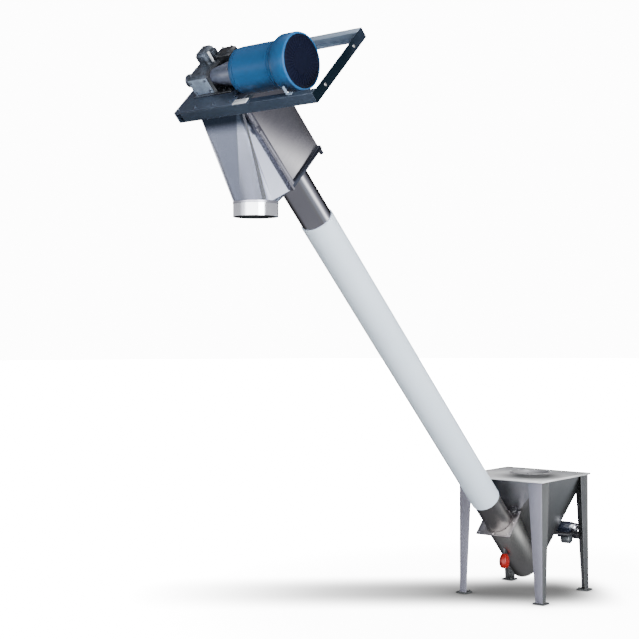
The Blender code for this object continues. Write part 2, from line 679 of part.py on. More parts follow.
def cast_block(low, high, chamfer):
    """Upright block with chamfered corners and a chamfered top."""
    mesh_data = bmesh.new()
    sections = []
    for shrink, height in ((0.0, low[2]), (0.0, high[2] - chamfer), (chamfer, high[2])):
        x0, y0, x1, y1 = low[0] + shrink, low[1] + shrink, high[0] - shrink, high[1] - shrink
        outline = [(x0 + chamfer, y0), (x1 - chamfer, y0), (x1, y0 + chamfer), (x1, y1 - chamfer),
                   (x1 - chamfer, y1), (x0 + chamfer, y1), (x0, y1 - chamfer), (x0, y0 + chamfer)]
        sections.append([(x, y, height) for x, y in outline])
    add_loft(mesh_data, sections)
    return mesh_data


def build_gear_case(base):
    """Reducer housing: a foot, the wide worm housing, its raised rear and the wheel housing beside it."""
    parts = [((CASE_LEFT, CASE_FRONT, base + 0.004), (CASE_SPLIT, CASE_REAR, CASE_TOP), 0.010),
             ((CASE_LEFT + 0.030, -0.030, CASE_TOP - 0.050), (-0.044, CASE_REAR - 0.004, CASE_TOP + 0.054), 0.008),
             ((CASE_SPLIT - 0.020, -0.002, base + 0.004), (0.070, 0.068, CASE_TOP + 0.024), 0.010)]
    foot = cast_block((CASE_LEFT - 0.010, CASE_FRONT - 0.008, base), (0.086, 0.086, base + 0.009), 0.003)
    case = add_piece("gear_case", foot, CAST_GREY, LINE)
    for low, high, chamfer in parts:
        join(case, add_piece("case_block", cast_block(low, high, chamfer), CAST_GREY, LINE))


def build_drive():
    """Worm reducer with its adapter, and the motor with its fan cover."""
    build_gear_case(FRAME_TOP + PLATE_THICK + GAP)
    cap_levels = [(CAP_RADIUS - 0.006, CASE_LEFT - 0.032), (CAP_RADIUS, CASE_LEFT - 0.028),
                  (CAP_RADIUS, CASE_LEFT - GAP)]
    add_piece("worm_cap", along_x(cap_levels, 32), CAST_GREY, LINE, smooth=True)
    adapter_levels = [(CONE_SMALL, CASE_SPLIT + GAP), (CONE_LARGE, MOTOR_START - 0.008),
                      (CONE_LARGE + 0.008, MOTOR_START - 0.008), (CONE_LARGE + 0.008, MOTOR_START - GAP)]
    add_piece("motor_adapter", along_x(adapter_levels, 40), STAINLESS, LINE, smooth=True)
    body_levels = [(0.056, MOTOR_START), (0.086, MOTOR_START + 0.010), (MOTOR_RADIUS - 0.003, MOTOR_START + 0.024),
                   (MOTOR_RADIUS, MOTOR_START + 0.036), (MOTOR_RADIUS, COVER_START - GAP)]
    add_piece("motor_body", along_x(body_levels, 56), MOTOR_BLUE, LINE, smooth=True)
    cover_levels = [(MOTOR_RADIUS + 0.004, COVER_START), (COVER_RADIUS - 0.004, COVER_START + 0.016),
                    (COVER_RADIUS, COVER_START + 0.026), (COVER_RADIUS, COVER_END - 0.008),
                    (COVER_RADIUS - 0.010, COVER_END)]
    add_piece("motor_fan_cover", along_x(cover_levels, 56), COVER_NAVY, LINE, smooth=True)


def main():
    """Build every piece under one empty."""
    clear_scene()
    root = bpy.data.objects.new("screw_conveyor", None)
    bpy.context.scene.collection.objects.link(root)
    build_stand()
    build_deck()
    build_hopper()
    build_boot()
    build_tubes()
    build_auger()
    build_clean_out()
    build_vibrator()
    build_flange_clamp()
    build_housing()
    build_chute()
    build_frame()
    build_drive()


main()
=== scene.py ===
"""Looks of the screw conveyor: finishes, fasteners, welds, drive details, floor, light and camera."""

import json
import logging
import math
import sys
from dataclasses import dataclass
from enum import Enum

import bmesh
import bpy
from mathutils import Matrix, Vector
from mathutils.bvhtree import BVHTree

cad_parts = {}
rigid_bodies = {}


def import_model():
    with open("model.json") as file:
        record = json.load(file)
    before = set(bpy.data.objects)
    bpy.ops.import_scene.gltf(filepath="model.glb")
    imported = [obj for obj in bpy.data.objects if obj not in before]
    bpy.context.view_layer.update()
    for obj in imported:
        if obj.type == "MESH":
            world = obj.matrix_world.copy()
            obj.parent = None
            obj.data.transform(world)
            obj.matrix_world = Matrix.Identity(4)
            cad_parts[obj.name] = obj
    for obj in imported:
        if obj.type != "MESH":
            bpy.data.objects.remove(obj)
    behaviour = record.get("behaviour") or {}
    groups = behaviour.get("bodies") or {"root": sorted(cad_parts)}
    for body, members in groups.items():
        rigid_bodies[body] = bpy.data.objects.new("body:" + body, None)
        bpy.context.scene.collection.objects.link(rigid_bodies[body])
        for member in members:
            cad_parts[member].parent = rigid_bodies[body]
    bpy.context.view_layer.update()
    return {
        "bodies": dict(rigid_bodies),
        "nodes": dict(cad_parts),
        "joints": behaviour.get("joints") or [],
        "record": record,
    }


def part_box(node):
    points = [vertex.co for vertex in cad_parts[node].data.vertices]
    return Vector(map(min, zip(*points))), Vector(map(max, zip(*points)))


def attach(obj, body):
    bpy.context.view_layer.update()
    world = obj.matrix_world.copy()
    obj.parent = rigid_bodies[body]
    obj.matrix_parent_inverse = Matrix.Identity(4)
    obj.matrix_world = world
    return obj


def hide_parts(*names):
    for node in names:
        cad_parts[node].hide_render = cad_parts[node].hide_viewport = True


LOG = logging.getLogger("screw_conveyor")
Triple = tuple[float, float, float]
Span = tuple[float, float]
Box = tuple[Triple, Triple]
Seat = tuple[Vector, Vector]
UP = Vector((0.0, 0.0, 1.0))
DOWN = Vector((0.0, 0.0, -1.0))
SIDES = (-1, 1)
HAIR = 0.0003  # gap between pieces that touch
SHARP_EDGE = 32.0  # degrees from which an edge is rounded
SMOOTH_SURFACE = 35.0  # degrees up to which faces are shaded as one
NOISE_BAND = (0.3, 0.7)  # where most of a noise's values lie
HEAD_RISE, WASHER_REACH, WASHER_RISE = 1.05, 1.45, 0.28  # over half the width of a bolt's head
DROP_SPACING = 0.55  # over the width of a weld bead


class Slot(Enum):
    """Material slots of the record."""

    STAND = "stand_grey"
    HOPPER = "hopper_steel"
    TUBE = "polished_tube"
    PIPE = "white_pipe"
    SCREW = "screw_steel"
    BLACK = "black_steel"
    KNOB = "knob_red"
    VIBRATOR = "vibrator_navy"
    HOUSING = "housing_steel"
    FRAME = "frame_paint"
    CAST = "cast_grey"
    ADAPTER = "adapter_grey"
    MOTOR = "motor_blue"
    COVER = "cover_navy"


class Frame(Enum):
    """Frames in which a piece can be drawn before it is placed in the row frame."""

    ROW = 0
    STAND = 1
    LINE = 2


@dataclass(frozen=True)
class Layout:
    """Where the stand's middle and the conveying line lie in the row frame."""

    centre: float = 0.2575
    incline: float = math.radians(45.0)
    axis_height: float = 0.1644

    def matrix(self, frame: Frame) -> Matrix:
        """Placement of a frame.

        Args:
            frame: The frame that a piece was drawn in.

        Returns:
            The matrix from that frame to the row frame.
        """
        if frame is Frame.ROW:
            return Matrix.Identity(4)
        stand = Matrix.Translation((self.centre, self.centre, 0.0))
        if frame is Frame.STAND:
            return stand
        run, rise = math.cos(self.incline), math.sin(self.incline)
        return stand @ Matrix(((0.0, run, -rise, 0.0), (-1.0, 0.0, 0.0, 0.0),
                               (0.0, rise, run, self.axis_height), (0.0, 0.0, 0.0, 1.0)))


LAYOUT = Layout()


class Graph:
    """A node tree with short ways to add and link nodes."""

    def __init__(self, tree: bpy.types.NodeTree) -> None:
        """Start from an empty tree.

        Args:
            tree: Tree to fill.
        """
        self.tree = tree
        tree.nodes.clear()

    def add(self, kind: str, values: dict | None = None, **settings: object) -> bpy.types.Node:
        """Add a node.

        Args:
            kind: Node type name.
            values: Input values by socket name or index; a socket value is linked.
            **settings: Attributes of the node.

        Returns:
            The new node.
        """
        node = self.tree.nodes.new(kind)
        for key, value in settings.items():
            setattr(node, key, value)
        for key, value in (values or {}).items():
            if isinstance(value, bpy.types.NodeSocket):
                self.tree.links.new(value, node.inputs[key])
            else:
                node.inputs[key].default_value = value
        return node

    def math(self, operation: str, first: object, second: object = 0.0, clamp: bool = False) -> bpy.types.NodeSocket:
        """Add a Math node.

        Args:
            operation: Operation name.
            first: First value or socket.
            second: Second value or socket.
            clamp: Whether the result is kept between 0 and 1.

        Returns:
            The result's socket.
        """
        return self.add("ShaderNodeMath", {0: first, 1: second}, operation=operation, use_clamp=clamp).outputs[0]

    def times(self, *factors: object) -> bpy.types.NodeSocket:
        """Multiply values.

        Args:
            *factors: Sockets or values, a socket first.

        Returns:
            The product's socket.
        """
        product = factors[0]
        for factor in factors[1:]:
            product = self.math("MULTIPLY", product, factor)
        return product

    def vector(self, operation: str, first: object, second: object = None) -> bpy.types.NodeSocket:
        """Measure vectors by their dot product, distance or length.

        Args:
            operation: Operation name.
            first: First vector or socket.
            second: Second vector or socket, if any.

        Returns:
            The value's socket.
        """
        values = {0: first} if second is None else {0: first, 1: second}
        return self.add("ShaderNodeVectorMath", values, operation=operation).outputs["Value"]

    def remap(self, value: object, span: Span, result: Span = (0.0, 1.0), smooth: bool = False) -> bpy.types.NodeSocket:
        """Add a Map Range node.

        Args:
            value: Socket to map.
            span: Lowest and highest input.
            result: Outputs at those inputs.
            smooth: Whether the step is smoothed.

        Returns:
            The result's socket.
        """
        kind = "SMOOTHSTEP" if smooth else "LINEAR"
        return self.add("ShaderNodeMapRange", {0: value, 1: span[0], 2: span[1], 3: result[0], 4: result[1]},
                        interpolation_type=kind).outputs[0]

    def mix(self, factor: object, first: object, second: object) -> bpy.types.NodeSocket:
        """Mix two colours.

        Args:
            factor: Socket or value from 0 to 1.
            first: Colour at 0.
            second: Colour at 1.

        Returns:
            The mixed colour's socket.
        """
        colours = [(*c, 1.0) if isinstance(c, tuple) and len(c) == 3 else c for c in (first, second)]
        return self.add("ShaderNodeMix", {0: factor, 6: colours[0], 7: colours[1]}, data_type="RGBA").outputs[2]

    def noise(self, where: object, scale: object, detail: float, rough: object = 0.5) -> bpy.types.NodeSocket:
        """Add a Noise Texture node.

        Args:
            where: Socket with the coordinates.
            scale: Its scale.
            detail: Its detail.
            rough: Its roughness.

        Returns:
            The noise's socket.
        """
        return self.add("ShaderNodeTexNoise", {"Vector": where, "Scale": scale, "Detail": detail,
                                               "Roughness": rough}).outputs[0]


class Effect(Graph):
    """Graph of a shader node group with named inputs and value outputs."""

    def __init__(self, name: str, inputs: dict[str, object], outputs: tuple[str, ...] = ("Mask",)) -> None:
        """Open the group with a Vector input and the given ones.

        Args:
            name: Name of the group.
            inputs: Default value of each further input; a tuple makes a vector input.
            outputs: Names of the value outputs.
        """
        tree = bpy.data.node_groups.new(name, "ShaderNodeTree")
        for label, value in {"Vector": (0.0, 0.0, 0.0), **inputs}.items():
            kind = "NodeSocketVector" if isinstance(value, tuple) else "NodeSocketFloat"
            tree.interface.new_socket(name=label, in_out="INPUT", socket_type=kind).default_value = value
        for label in outputs:
            tree.interface.new_socket(name=label, in_out="OUTPUT", socket_type="NodeSocketFloat")
        super().__init__(tree)
        self.given = self.add("NodeGroupInput").outputs
        self.result = self.add("NodeGroupOutput")

    def facing(self, span: Span, smooth: bool = False) -> bpy.types.NodeSocket:
        """Measure how far a face looks up or down.

        Args:
            span: Height of the normal at 0 and at 1.
            smooth: Whether the step is smoothed.

        Returns:
            The value's socket.
        """
        normal = self.add("ShaderNodeNewGeometry").outputs["Normal"]
        return self.remap(self.add("ShaderNodeSeparateXYZ", {0: normal}).outputs["Z"], span, smooth=smooth)

    def put(self, label: str, value: bpy.types.NodeSocket) -> None:
        """Link a value to an output.

        Args:
            label: Name of the output.
            value: The value's socket.
        """
        self.tree.links.new(value, self.result.inputs[label])

    def mask(self, place: bpy.types.NodeSocket, patches: bpy.types.NodeSocket) -> bpy.types.NodeTree:
        """Close a group whose mask is a place, broken up by patches, times its Amount.

        Args:
            place: Where the effect is found.
            patches: What breaks it up.

        Returns:
            The node group.
        """
        self.put("Mask", self.math("MULTIPLY", self.times(place, patches), self.given["Amount"], True))
        return self.tree


class SurfaceEffects:
    """Shader node groups that several finishes share."""

    def __init__(self) -> None:
        """Build each group once."""
        self.wear = self.edge_wear()
        self.grain = self.sheet_grain()
        self.dust = self.settled_dust()
        self.peel = self.paint_peel()
        self.underside_shade = self.underside_shade_mask()

    @staticmethod
    def underside_shade_mask() -> bpy.types.NodeTree:
        """Mask of painted shade on faces that look down, broken up by noise.

        Returns:
            The node group.
        """
        graph = Effect("underside_shade_mask", {"Amount": 0.0, "Scale": 18.0})
        noise = graph.noise(graph.given["Vector"], graph.given["Scale"], 5.0, 0.6)
        return graph.mask(graph.facing((-0.60, -0.95), True), graph.remap(noise, (0.25, 0.55), (0.55, 1.0)))

    @staticmethod
    def edge_wear() -> bpy.types.NodeTree:
        """Mask of rubbed edges, broken up by noise.

        Returns:
            The node group.
        """
        graph = Effect("edge_wear", {"Radius": 0.003, "Amount": 0.5, "Scale": 60.0})
        rounded = graph.add("ShaderNodeBevel", {"Radius": graph.given["Radius"]}, samples=4).outputs[0]
        plain = graph.add("ShaderNodeNewGeometry").outputs["Normal"]
        edge = graph.remap(graph.vector("DOT_PRODUCT", rounded, plain), (0.995, 0.86))
        noise = graph.noise(graph.given["Vector"], graph.given["Scale"], 4.0, 0.65)
        return graph.mask(edge, graph.remap(noise, (0.38, 0.62)))

    @staticmethod
    def sheet_grain() -> bpy.types.NodeTree:
        """Fine rolling lines and broad clouds of sheet metal.

        Returns:
            The node group.
        """
        graph = Effect("sheet_grain", {"Turn": (0.0, 0.0, 0.0), "Stretch": (1.0, 1.0, 0.04), "Scale": 400.0,
                                       "Cloud Scale": 5.0}, ("Fine", "Cloud"))
        given = graph.given
        turned = graph.add("ShaderNodeMapping", {"Vector": given["Vector"], "Rotation": given["Turn"]})
        drawn = graph.add("ShaderNodeMapping", {"Vector": turned.outputs[0], "Scale": given["Stretch"]})
        graph.put("Fine", graph.noise(drawn.outputs[0], given["Scale"], 3.0, 0.6))
        graph.put("Cloud", graph.remap(graph.noise(given["Vector"], given["Cloud Scale"], 3.0), NOISE_BAND))
        return graph.tree

    @staticmethod
    def settled_dust() -> bpy.types.NodeTree:
        """Mask of dust on faces that look up and of splashes near the floor.

        Returns:
            The node group.
        """
        graph = Effect("settled_dust", {"Amount": 0.3, "Scale": 25.0, "Splash Height": 0.12})
        given = graph.given
        height = graph.add("ShaderNodeSeparateXYZ", {0: given["Vector"]}).outputs["Z"]
        splash = graph.remap(height, (given["Splash Height"], 0.0), (0.0, 0.8))
        where = graph.math("MAXIMUM", graph.facing((0.2, 0.95)), splash)
        return graph.mask(where, graph.remap(graph.noise(given["Vector"], given["Scale"], 6.0, 0.6), (0.35, 0.75)))

    @staticmethod
    def paint_peel() -> bpy.types.NodeTree:
        """Height of sprayed paint's orange peel or of a casting's skin.

        Returns:
            The node group.
        """
        graph = Effect("paint_peel", {"Scale": 500.0, "Roughness": 0.5}, ("Height",))
        graph.put("Height", graph.noise(graph.given["Vector"], graph.given["Scale"], 2.0, graph.given["Roughness"]))
        return graph.tree


@dataclass(frozen=True)
class Finish:
    """One finish: a base tone with grain, peel, edge wear, dust, painted shade on faces that look down, and a fade and
    a painted shadow patch where it has them.
    """

    name: str
    slot: Slot
    tone: Triple
    cloud_tone: Triple
    rough: Span = (0.35, 0.5)
    metallic: float = 0.0
    coat: float = 0.0
    grain_scale: float = 400.0
    grain_stretch: Triple = (1.0, 1.0, 0.05)
    grain_turn: Triple = (0.0, 0.0, 0.0)
    grain_bump: float = 0.0
    cloud_scale: float = 5.0
    peel_scale: float = 500.0
    peel_bump: float = 0.0
    wear: float = 0.0
    wear_radius: float = 0.002
    wear_tone: Triple = (0.55, 0.55, 0.56)
    dust: float = 0.0
    dust_tone: Triple = (0.45, 0.43, 0.40)
    underside_shade: float = 0.0
    underside_shade_tone: Triple = (0.012, 0.013, 0.016)
    specular: float = 0.5
    fade_tone: Triple | None = None
    fade_way: Triple = (1.0, 0.0, 0.0)
    fade_span: Span = (0.0, 1.0)
    painted_shadow_tone: Triple | None = None
    painted_shadow_at: Triple = (0.0, 0.0, 0.0)
    painted_shadow_reach: Span = (0.0, 0.1)

    def build(self, effects: SurfaceEffects) -> bpy.types.Material:
        """Make the material.

        Args:
            effects: The shared node groups.

        Returns:
            The material.
        """
        material = bpy.data.materials.new(self.name)
        material.use_nodes = True
        material.diffuse_color = (*self.tone, 1.0)
        graph = Graph(material.node_tree)
        where = graph.add("ShaderNodeTexCoord").outputs["Object"]
        settings = {"grain": {"Turn": self.grain_turn, "Stretch": self.grain_stretch, "Scale": self.grain_scale,
                              "Cloud Scale": self.cloud_scale},
                    "wear": {"Radius": self.wear_radius, "Amount": self.wear}, "dust": {"Amount": self.dust},
                    "underside_shade": {"Amount": self.underside_shade}, "peel": {"Scale": self.peel_scale}}
        made = {label: graph.add("ShaderNodeGroup", node_tree=getattr(effects, label)) for label in settings}
        for label, values in settings.items():
            graph.tree.links.new(where, made[label].inputs["Vector"])
            for key, value in values.items():
                made[label].inputs[key].default_value = value
        fine, cloud = made["grain"].outputs["Fine"], made["grain"].outputs["Cloud"]
        wear, dust = made["wear"].outputs["Mask"], made["dust"].outputs["Mask"]
        tone = graph.mix(cloud, self.tone, self.cloud_tone)
        tone = graph.mix(graph.remap(fine, NOISE_BAND, (0.0, 0.12)), tone, self.cloud_tone)
        if self.fade_tone is not None:
            along = graph.vector("DOT_PRODUCT", where, Vector(self.fade_way))
            tone = graph.mix(graph.remap(along, self.fade_span, smooth=True), tone, self.fade_tone)
        # Painted shadow: a darker patch round one point.
        if self.painted_shadow_tone is not None:
            away = graph.vector("DISTANCE", where, Vector(self.painted_shadow_at))
            tone = graph.mix(graph.remap(away, self.painted_shadow_reach, (1.0, 0.0), True), tone, self.painted_shadow_tone)
        # Painted shade: faces that look down go darker.
        tone = graph.mix(made["underside_shade"].outputs["Mask"], tone, self.underside_shade_tone)
        tone = graph.mix(wear, tone, self.wear_tone)
        tone = graph.mix(dust, tone, self.dust_tone)
        rough = graph.remap(cloud, (0.0, 1.0), self.rough)
        rough = graph.math("ADD", rough, graph.remap(fine, NOISE_BAND, (-0.05, 0.05)), True)
        rough = graph.math("ADD", rough, graph.times(dust, 0.4), True)
        if self.metallic >= 1.0:
            metal = graph.math("SUBTRACT", 1.0, graph.times(dust, 0.9), True)
        else:
            metal = graph.math("MAXIMUM", graph.times(wear, 0.9), self.metallic)
        lines = graph.add("ShaderNodeBump", {"Height": fine, "Strength": self.grain_bump, "Distance": 0.0004})
        skin = graph.add("ShaderNodeBump", {"Height": made["peel"].outputs["Height"], "Strength": self.peel_bump,
                                            "Distance": 0.001, "Normal": lines.outputs[0]})
        shader = graph.add("ShaderNodeBsdfPrincipled", {
            "Base Color": tone, "Roughness": rough, "Metallic": metal, "Normal": skin.outputs[0],
            "Coat Weight": self.coat, "Coat Roughness": 0.12, "Specular IOR Level": self.specular})
        graph.add("ShaderNodeOutputMaterial", {"Surface": shader.outputs[0]})
        return material


@dataclass(frozen=True)
class Powder(Finish):
    """Powder coat of the stand."""

    peel_bump: float = 0.08


@dataclass(frozen=True)
class Stainless(Finish):
    """Stainless sheet or tube, its grain drawn along the line."""

    metallic: float = 1.0
    grain_stretch: Triple = (1.0, 1.0, 0.03)
    grain_turn: Triple = (0.0, -math.radians(45.0), 0.0)
    grain_bump: float = 0.08
    wear: float = 0.3


@dataclass(frozen=True)
class Slate(Finish):
    """Slate paint of the drive frame."""

    rough: Span = (0.36, 0.48)
    peel_scale: float = 450.0
    peel_bump: float = 0.08


@dataclass(frozen=True)
class Casting(Finish):
    """Painted casting with a rough skin."""

    metallic: float = 0.3
    coat: float = 0.1
    peel_scale: float = 300.0
    peel_bump: float = 0.2


@dataclass(frozen=True)
class Enamel(Finish):
    """Sprayed motor enamel."""

    peel_scale: float = 350.0
    peel_bump: float = 0.06


ACROSS_SHEET = (0.04, 1.0, 1.0)

# Its fade is painted shade: where the legs reach past x = -0.0145 they go darker, as the flanges there face away from
# the light.
POWDER_GREY = Powder("powder_grey", Slot.STAND, (0.190, 0.188, 0.240), (0.170, 0.168, 0.212), (0.40, 0.52),
                     wear=0.35, dust=0.06, fade_tone=(0.066, 0.070, 0.072), fade_span=(-0.0145, -0.0115))
SHADED_POWDER = Powder("shaded_powder", Slot.STAND, (0.046, 0.049, 0.052), (0.037, 0.040, 0.043), (0.40, 0.52),
                       wear=0.5, dust=0.08)
PAD_POWDER = Powder("pad_powder", Slot.STAND, (0.046, 0.049, 0.052), (0.037, 0.040, 0.043), (0.5, 0.6),
                    wear=0.10, dust=0.04, specular=0.2)
# Painted light: a much lighter copy of the stand's powder grey for the deck's top, on which light falls; its fade is
# painted shade, darker toward +x, and its dark patch is a painted shadow round the inlet.
LIT_DECK_POWDER = Powder("lit_deck_powder", Slot.STAND, (0.92, 0.92, 0.93), (0.76, 0.76, 0.77), (0.34, 0.44),
                     cloud_scale=9.0, peel_bump=0.06, wear=0.5, dust=0.06, specular=0.45,
                     fade_tone=(0.44, 0.45, 0.46), fade_span=(0.22, 0.44), painted_shadow_tone=(0.07, 0.07, 0.073),
                     painted_shadow_at=(0.175, 0.155, 0.70), painted_shadow_reach=(0.07, 0.25))
COLLAR_POWDER = Powder("collar_powder", Slot.STAND, (0.34, 0.34, 0.35), (0.27, 0.27, 0.28), (0.36, 0.46),
                       peel_bump=0.06, wear=0.4)
DULL_STAINLESS = Stainless("dull_stainless", Slot.HOPPER, (0.28, 0.29, 0.29), (0.25, 0.26, 0.26), (0.32, 0.42),
                           grain_stretch=ACROSS_SHEET, cloud_scale=7.0, dust=0.06)
# Painted light and shade: a lighter copy of the hopper steel for the front wall, whose fade is painted shade, darker
# toward +y beside the tube.
FRONT_STAINLESS = Stainless("front_stainless", Slot.HOPPER, (0.44, 0.45, 0.49), (0.38, 0.39, 0.43), (0.40, 0.50),
                            grain_stretch=ACROSS_SHEET, cloud_scale=6.0, fade_tone=(0.006, 0.014, 0.022),
                            fade_way=(0.0, 1.0, 0.0), fade_span=(0.17, 0.34))
TROUGH_STAINLESS = Stainless("trough_stainless", Slot.HOPPER, (0.41, 0.41, 0.39), (0.33, 0.33, 0.31), (0.34, 0.46),
                             grain_stretch=(1.0, 1.0, 0.04), cloud_scale=7.0)
LINE_STAINLESS = Stainless("line_stainless", Slot.HOPPER, (0.265, 0.257, 0.250), (0.225, 0.217, 0.210), (0.32, 0.42))
# Its fade is painted shade: the flange goes darker toward +y.
FLANGE_STEEL = Stainless("flange_steel", Slot.HOPPER, (0.46, 0.43, 0.43), (0.36, 0.34, 0.34), (0.34, 0.44),
                         grain_stretch=(1.0, 1.0, 0.05), cloud_scale=9.0, wear=0.6, fade_tone=(0.24, 0.24, 0.26),
                         fade_way=(0.0, 1.0, 0.0), fade_span=(0.25, 0.36))
POLISHED = Stainless("polished_stainless", Slot.TUBE, (0.64, 0.64, 0.68), (0.56, 0.56, 0.60), (0.12, 0.18),
                     grain_bump=0.05)
WHITE_PIPE = Stainless("white_pipe", Slot.PIPE, (0.72, 0.82, 0.93), (0.68, 0.78, 0.89), (0.38, 0.5), metallic=0.0,
                       coat=0.1, grain_stretch=(1.0, 1.0, 0.02), grain_bump=0.03, cloud_scale=2.5, peel_scale=250.0,
                       peel_bump=0.03, wear=0.0, dust=0.04, dust_tone=(0.5, 0.5, 0.5))
SCREW_STEEL = Stainless("screw_steel", Slot.SCREW, (0.42, 0.41, 0.40), (0.30, 0.29, 0.28), (0.3, 0.5),
                        grain_stretch=(1.0, 1.0, 0.1), grain_bump=0.25, wear=0.5, dust=0.2)
BLACK_PAINT = Finish("black_paint", Slot.BLACK, (0.010, 0.010, 0.013), (0.018, 0.018, 0.021), coat=0.1,
                     peel_bump=0.10, wear=0.25, dust=0.02, specular=0.2)
RED_KNOB = Enamel("red_knob", Slot.KNOB, (0.210, 0.0030, 0.0022), (0.260, 0.006, 0.003), (0.26, 0.36),
                  peel_bump=0.03, specular=0.25)
NAVY_ENAMEL = Enamel("navy_enamel", Slot.VIBRATOR, (0.012, 0.016, 0.030), (0.018, 0.023, 0.039), (0.3, 0.42),
                     coat=0.15, peel_scale=400.0, peel_bump=0.10, wear=0.3, dust=0.06)
# Its fade is painted shade: the housing goes darker toward its upper end.
HOUSING_STAINLESS = Stainless("housing_stainless", Slot.HOUSING, (0.43, 0.42, 0.43), (0.40, 0.39, 0.41), (0.18, 0.22),
                              grain_bump=0.02, cloud_scale=3.0, fade_tone=(0.30, 0.295, 0.315),
                              fade_way=(-0.8945, 0.0, 0.4476), fade_span=(2.70, 2.98))
# Its fade is painted shadow: the chute's top goes dark where the frame shades it.
CHUTE_STAINLESS = Stainless("chute_stainless", Slot.HOUSING, (0.74, 0.79, 0.95), (0.69, 0.74, 0.90), (0.18, 0.25),
                            grain_turn=(0.0, 0.0, 0.0), grain_bump=0.03, wear=0.2, fade_tone=(0.041, 0.055, 0.080),
                            fade_way=(0.0, 0.0, 1.0), fade_span=(2.41, 2.47))
# Painted shade: a dark copy of the housing steel for the top and bottom plates and the corner lug, which sit in shade.
SHADED_EDGE_STEEL = Stainless("shaded_edge_steel", Slot.HOUSING, (0.055, 0.062, 0.085), (0.040, 0.046, 0.065), (0.26, 0.36),
                       grain_bump=0.06, wear=0.5)
JOINT_STEEL = Stainless("joint_steel", Slot.HOUSING, (0.34, 0.34, 0.39), (0.22, 0.22, 0.26), (0.26, 0.36),
                        grain_bump=0.06, cloud_scale=16.0, wear=0.5)
SPOUT_STEEL = Finish("spout_steel", Slot.HOUSING, (0.70, 0.71, 0.74), (0.64, 0.65, 0.68), (0.12, 0.16), metallic=1.0,
                     grain_bump=0.02, wear=0.2)
# Painted shade: the spout's bore is dark as the shade inside it.
SHADED_BORE = Finish("shaded_bore", Slot.HOUSING, (0.012, 0.013, 0.016), (0.020, 0.021, 0.024), (0.6, 0.75),
                     grain_bump=0.05, specular=0.1)
# Painted shade: dark steel laid along the chute's folds as the shade in their creases.
CREASE_SHADE_STEEL = Finish("crease_shade_steel", Slot.HOUSING, (0.085, 0.088, 0.105), (0.070, 0.073, 0.088), (0.40, 0.50),
                    cloud_scale=16.0, specular=0.25)
# Painted shadow: dark strips under the housing's top plate stand for the shadow below the rail.
SHADOW_STRIP = Finish("shadow_strip", Slot.HOUSING, (0.020, 0.030, 0.045), (0.028, 0.040, 0.058), (0.45, 0.6),
                   metallic=0.2, peel_bump=0.08, specular=0.2)
# Its light edge wear is partly real wear and partly a painted highlight along the rails' edges.
SLATE_PAINT = Slate("slate_paint", Slot.FRAME, (0.021, 0.033, 0.056), (0.029, 0.044, 0.070), wear=0.75,
                    wear_radius=0.005, wear_tone=(0.24, 0.29, 0.36), dust=0.04, dust_tone=(0.20, 0.23, 0.27),
                    specular=0.4)
# Its underside shade is painted: faces of the plate that look down go darker.
PLATE_SLATE = Slate("plate_slate", Slot.FRAME, (0.036, 0.054, 0.090), (0.028, 0.042, 0.070), (0.34, 0.46),
                    cloud_scale=14.0, wear=0.6, wear_tone=(0.26, 0.30, 0.36), dust=0.05,
                    dust_tone=(0.24, 0.28, 0.33), underside_shade=0.6, underside_shade_tone=(0.010, 0.014, 0.020))
# Painted light: a lighter copy of the frame paint for the top-lit rear rail and the small bracket.
LIT_SLATE = Slate("lit_slate", Slot.FRAME, (0.25, 0.32, 0.42), (0.20, 0.26, 0.34), peel_bump=0.06, wear=0.35,
                  wear_tone=(0.26, 0.30, 0.35), specular=0.3)
# Painted shade: a near-black copy of the frame paint for the end bar, whose outer face looks away from the light; its
# fade makes the bar lighter toward its rear end.
SHADED_SLATE = Slate("shaded_slate", Slot.FRAME, (0.0014, 0.0045, 0.0078), (0.003, 0.007, 0.012), (0.40, 0.50),
                   wear=0.25, wear_tone=(0.10, 0.12, 0.15), specular=0.02, fade_tone=(0.011, 0.016, 0.026),
                   fade_span=(-2.20, -2.08))
# Painted shade: its fade darkens the part of the case toward the motor, and faces that look down go darker.
CAST_GREY = Casting("cast_grey", Slot.CAST, (0.110, 0.138, 0.185), (0.010, 0.014, 0.020), (0.30, 0.46),
                    peel_bump=0.25, cloud_scale=30.0, wear=0.8, wear_tone=(0.30, 0.34, 0.40), dust=0.05, underside_shade=0.8,
                    fade_tone=(0.010, 0.012, 0.016), fade_way=(0.0, -1.0, 0.0), fade_span=(-0.290, -0.262))
# Painted light: a lighter copy of the cast grey for the case's front cover, on which light falls.
LIT_CAST = Casting("lit_cast", Slot.CAST, (0.40, 0.50, 0.64), (0.24, 0.30, 0.40), (0.30, 0.42),
                      cloud_scale=22.0, wear=0.8, wear_tone=(0.4, 0.44, 0.5))
VIBRATOR_CAST = Casting("vibrator_cast", Slot.CAST, (0.085, 0.095, 0.105), (0.045, 0.050, 0.056), (0.36, 0.5),
                        coat=0.0, cloud_scale=40.0, wear=0.5)
# Its underside shade is painted: faces of the adapter that look down go darker.
LIGHT_CAST = Casting("light_cast", Slot.ADAPTER, (0.20, 0.23, 0.33), (0.13, 0.155, 0.22), (0.32, 0.45),
                     cloud_scale=15.0, wear=0.4, underside_shade=0.9)
# Its underside shade is painted: the motor's lower faces go darker.
BLUE_ENAMEL = Enamel("blue_enamel", Slot.MOTOR, (0.0105, 0.084, 0.225), (0.0135, 0.095, 0.250), (0.34, 0.42),
                     peel_bump=0.04, wear=0.25, wear_tone=(0.20, 0.27, 0.36), underside_shade=0.9,
                     underside_shade_tone=(0.010, 0.014, 0.024), specular=0.22)
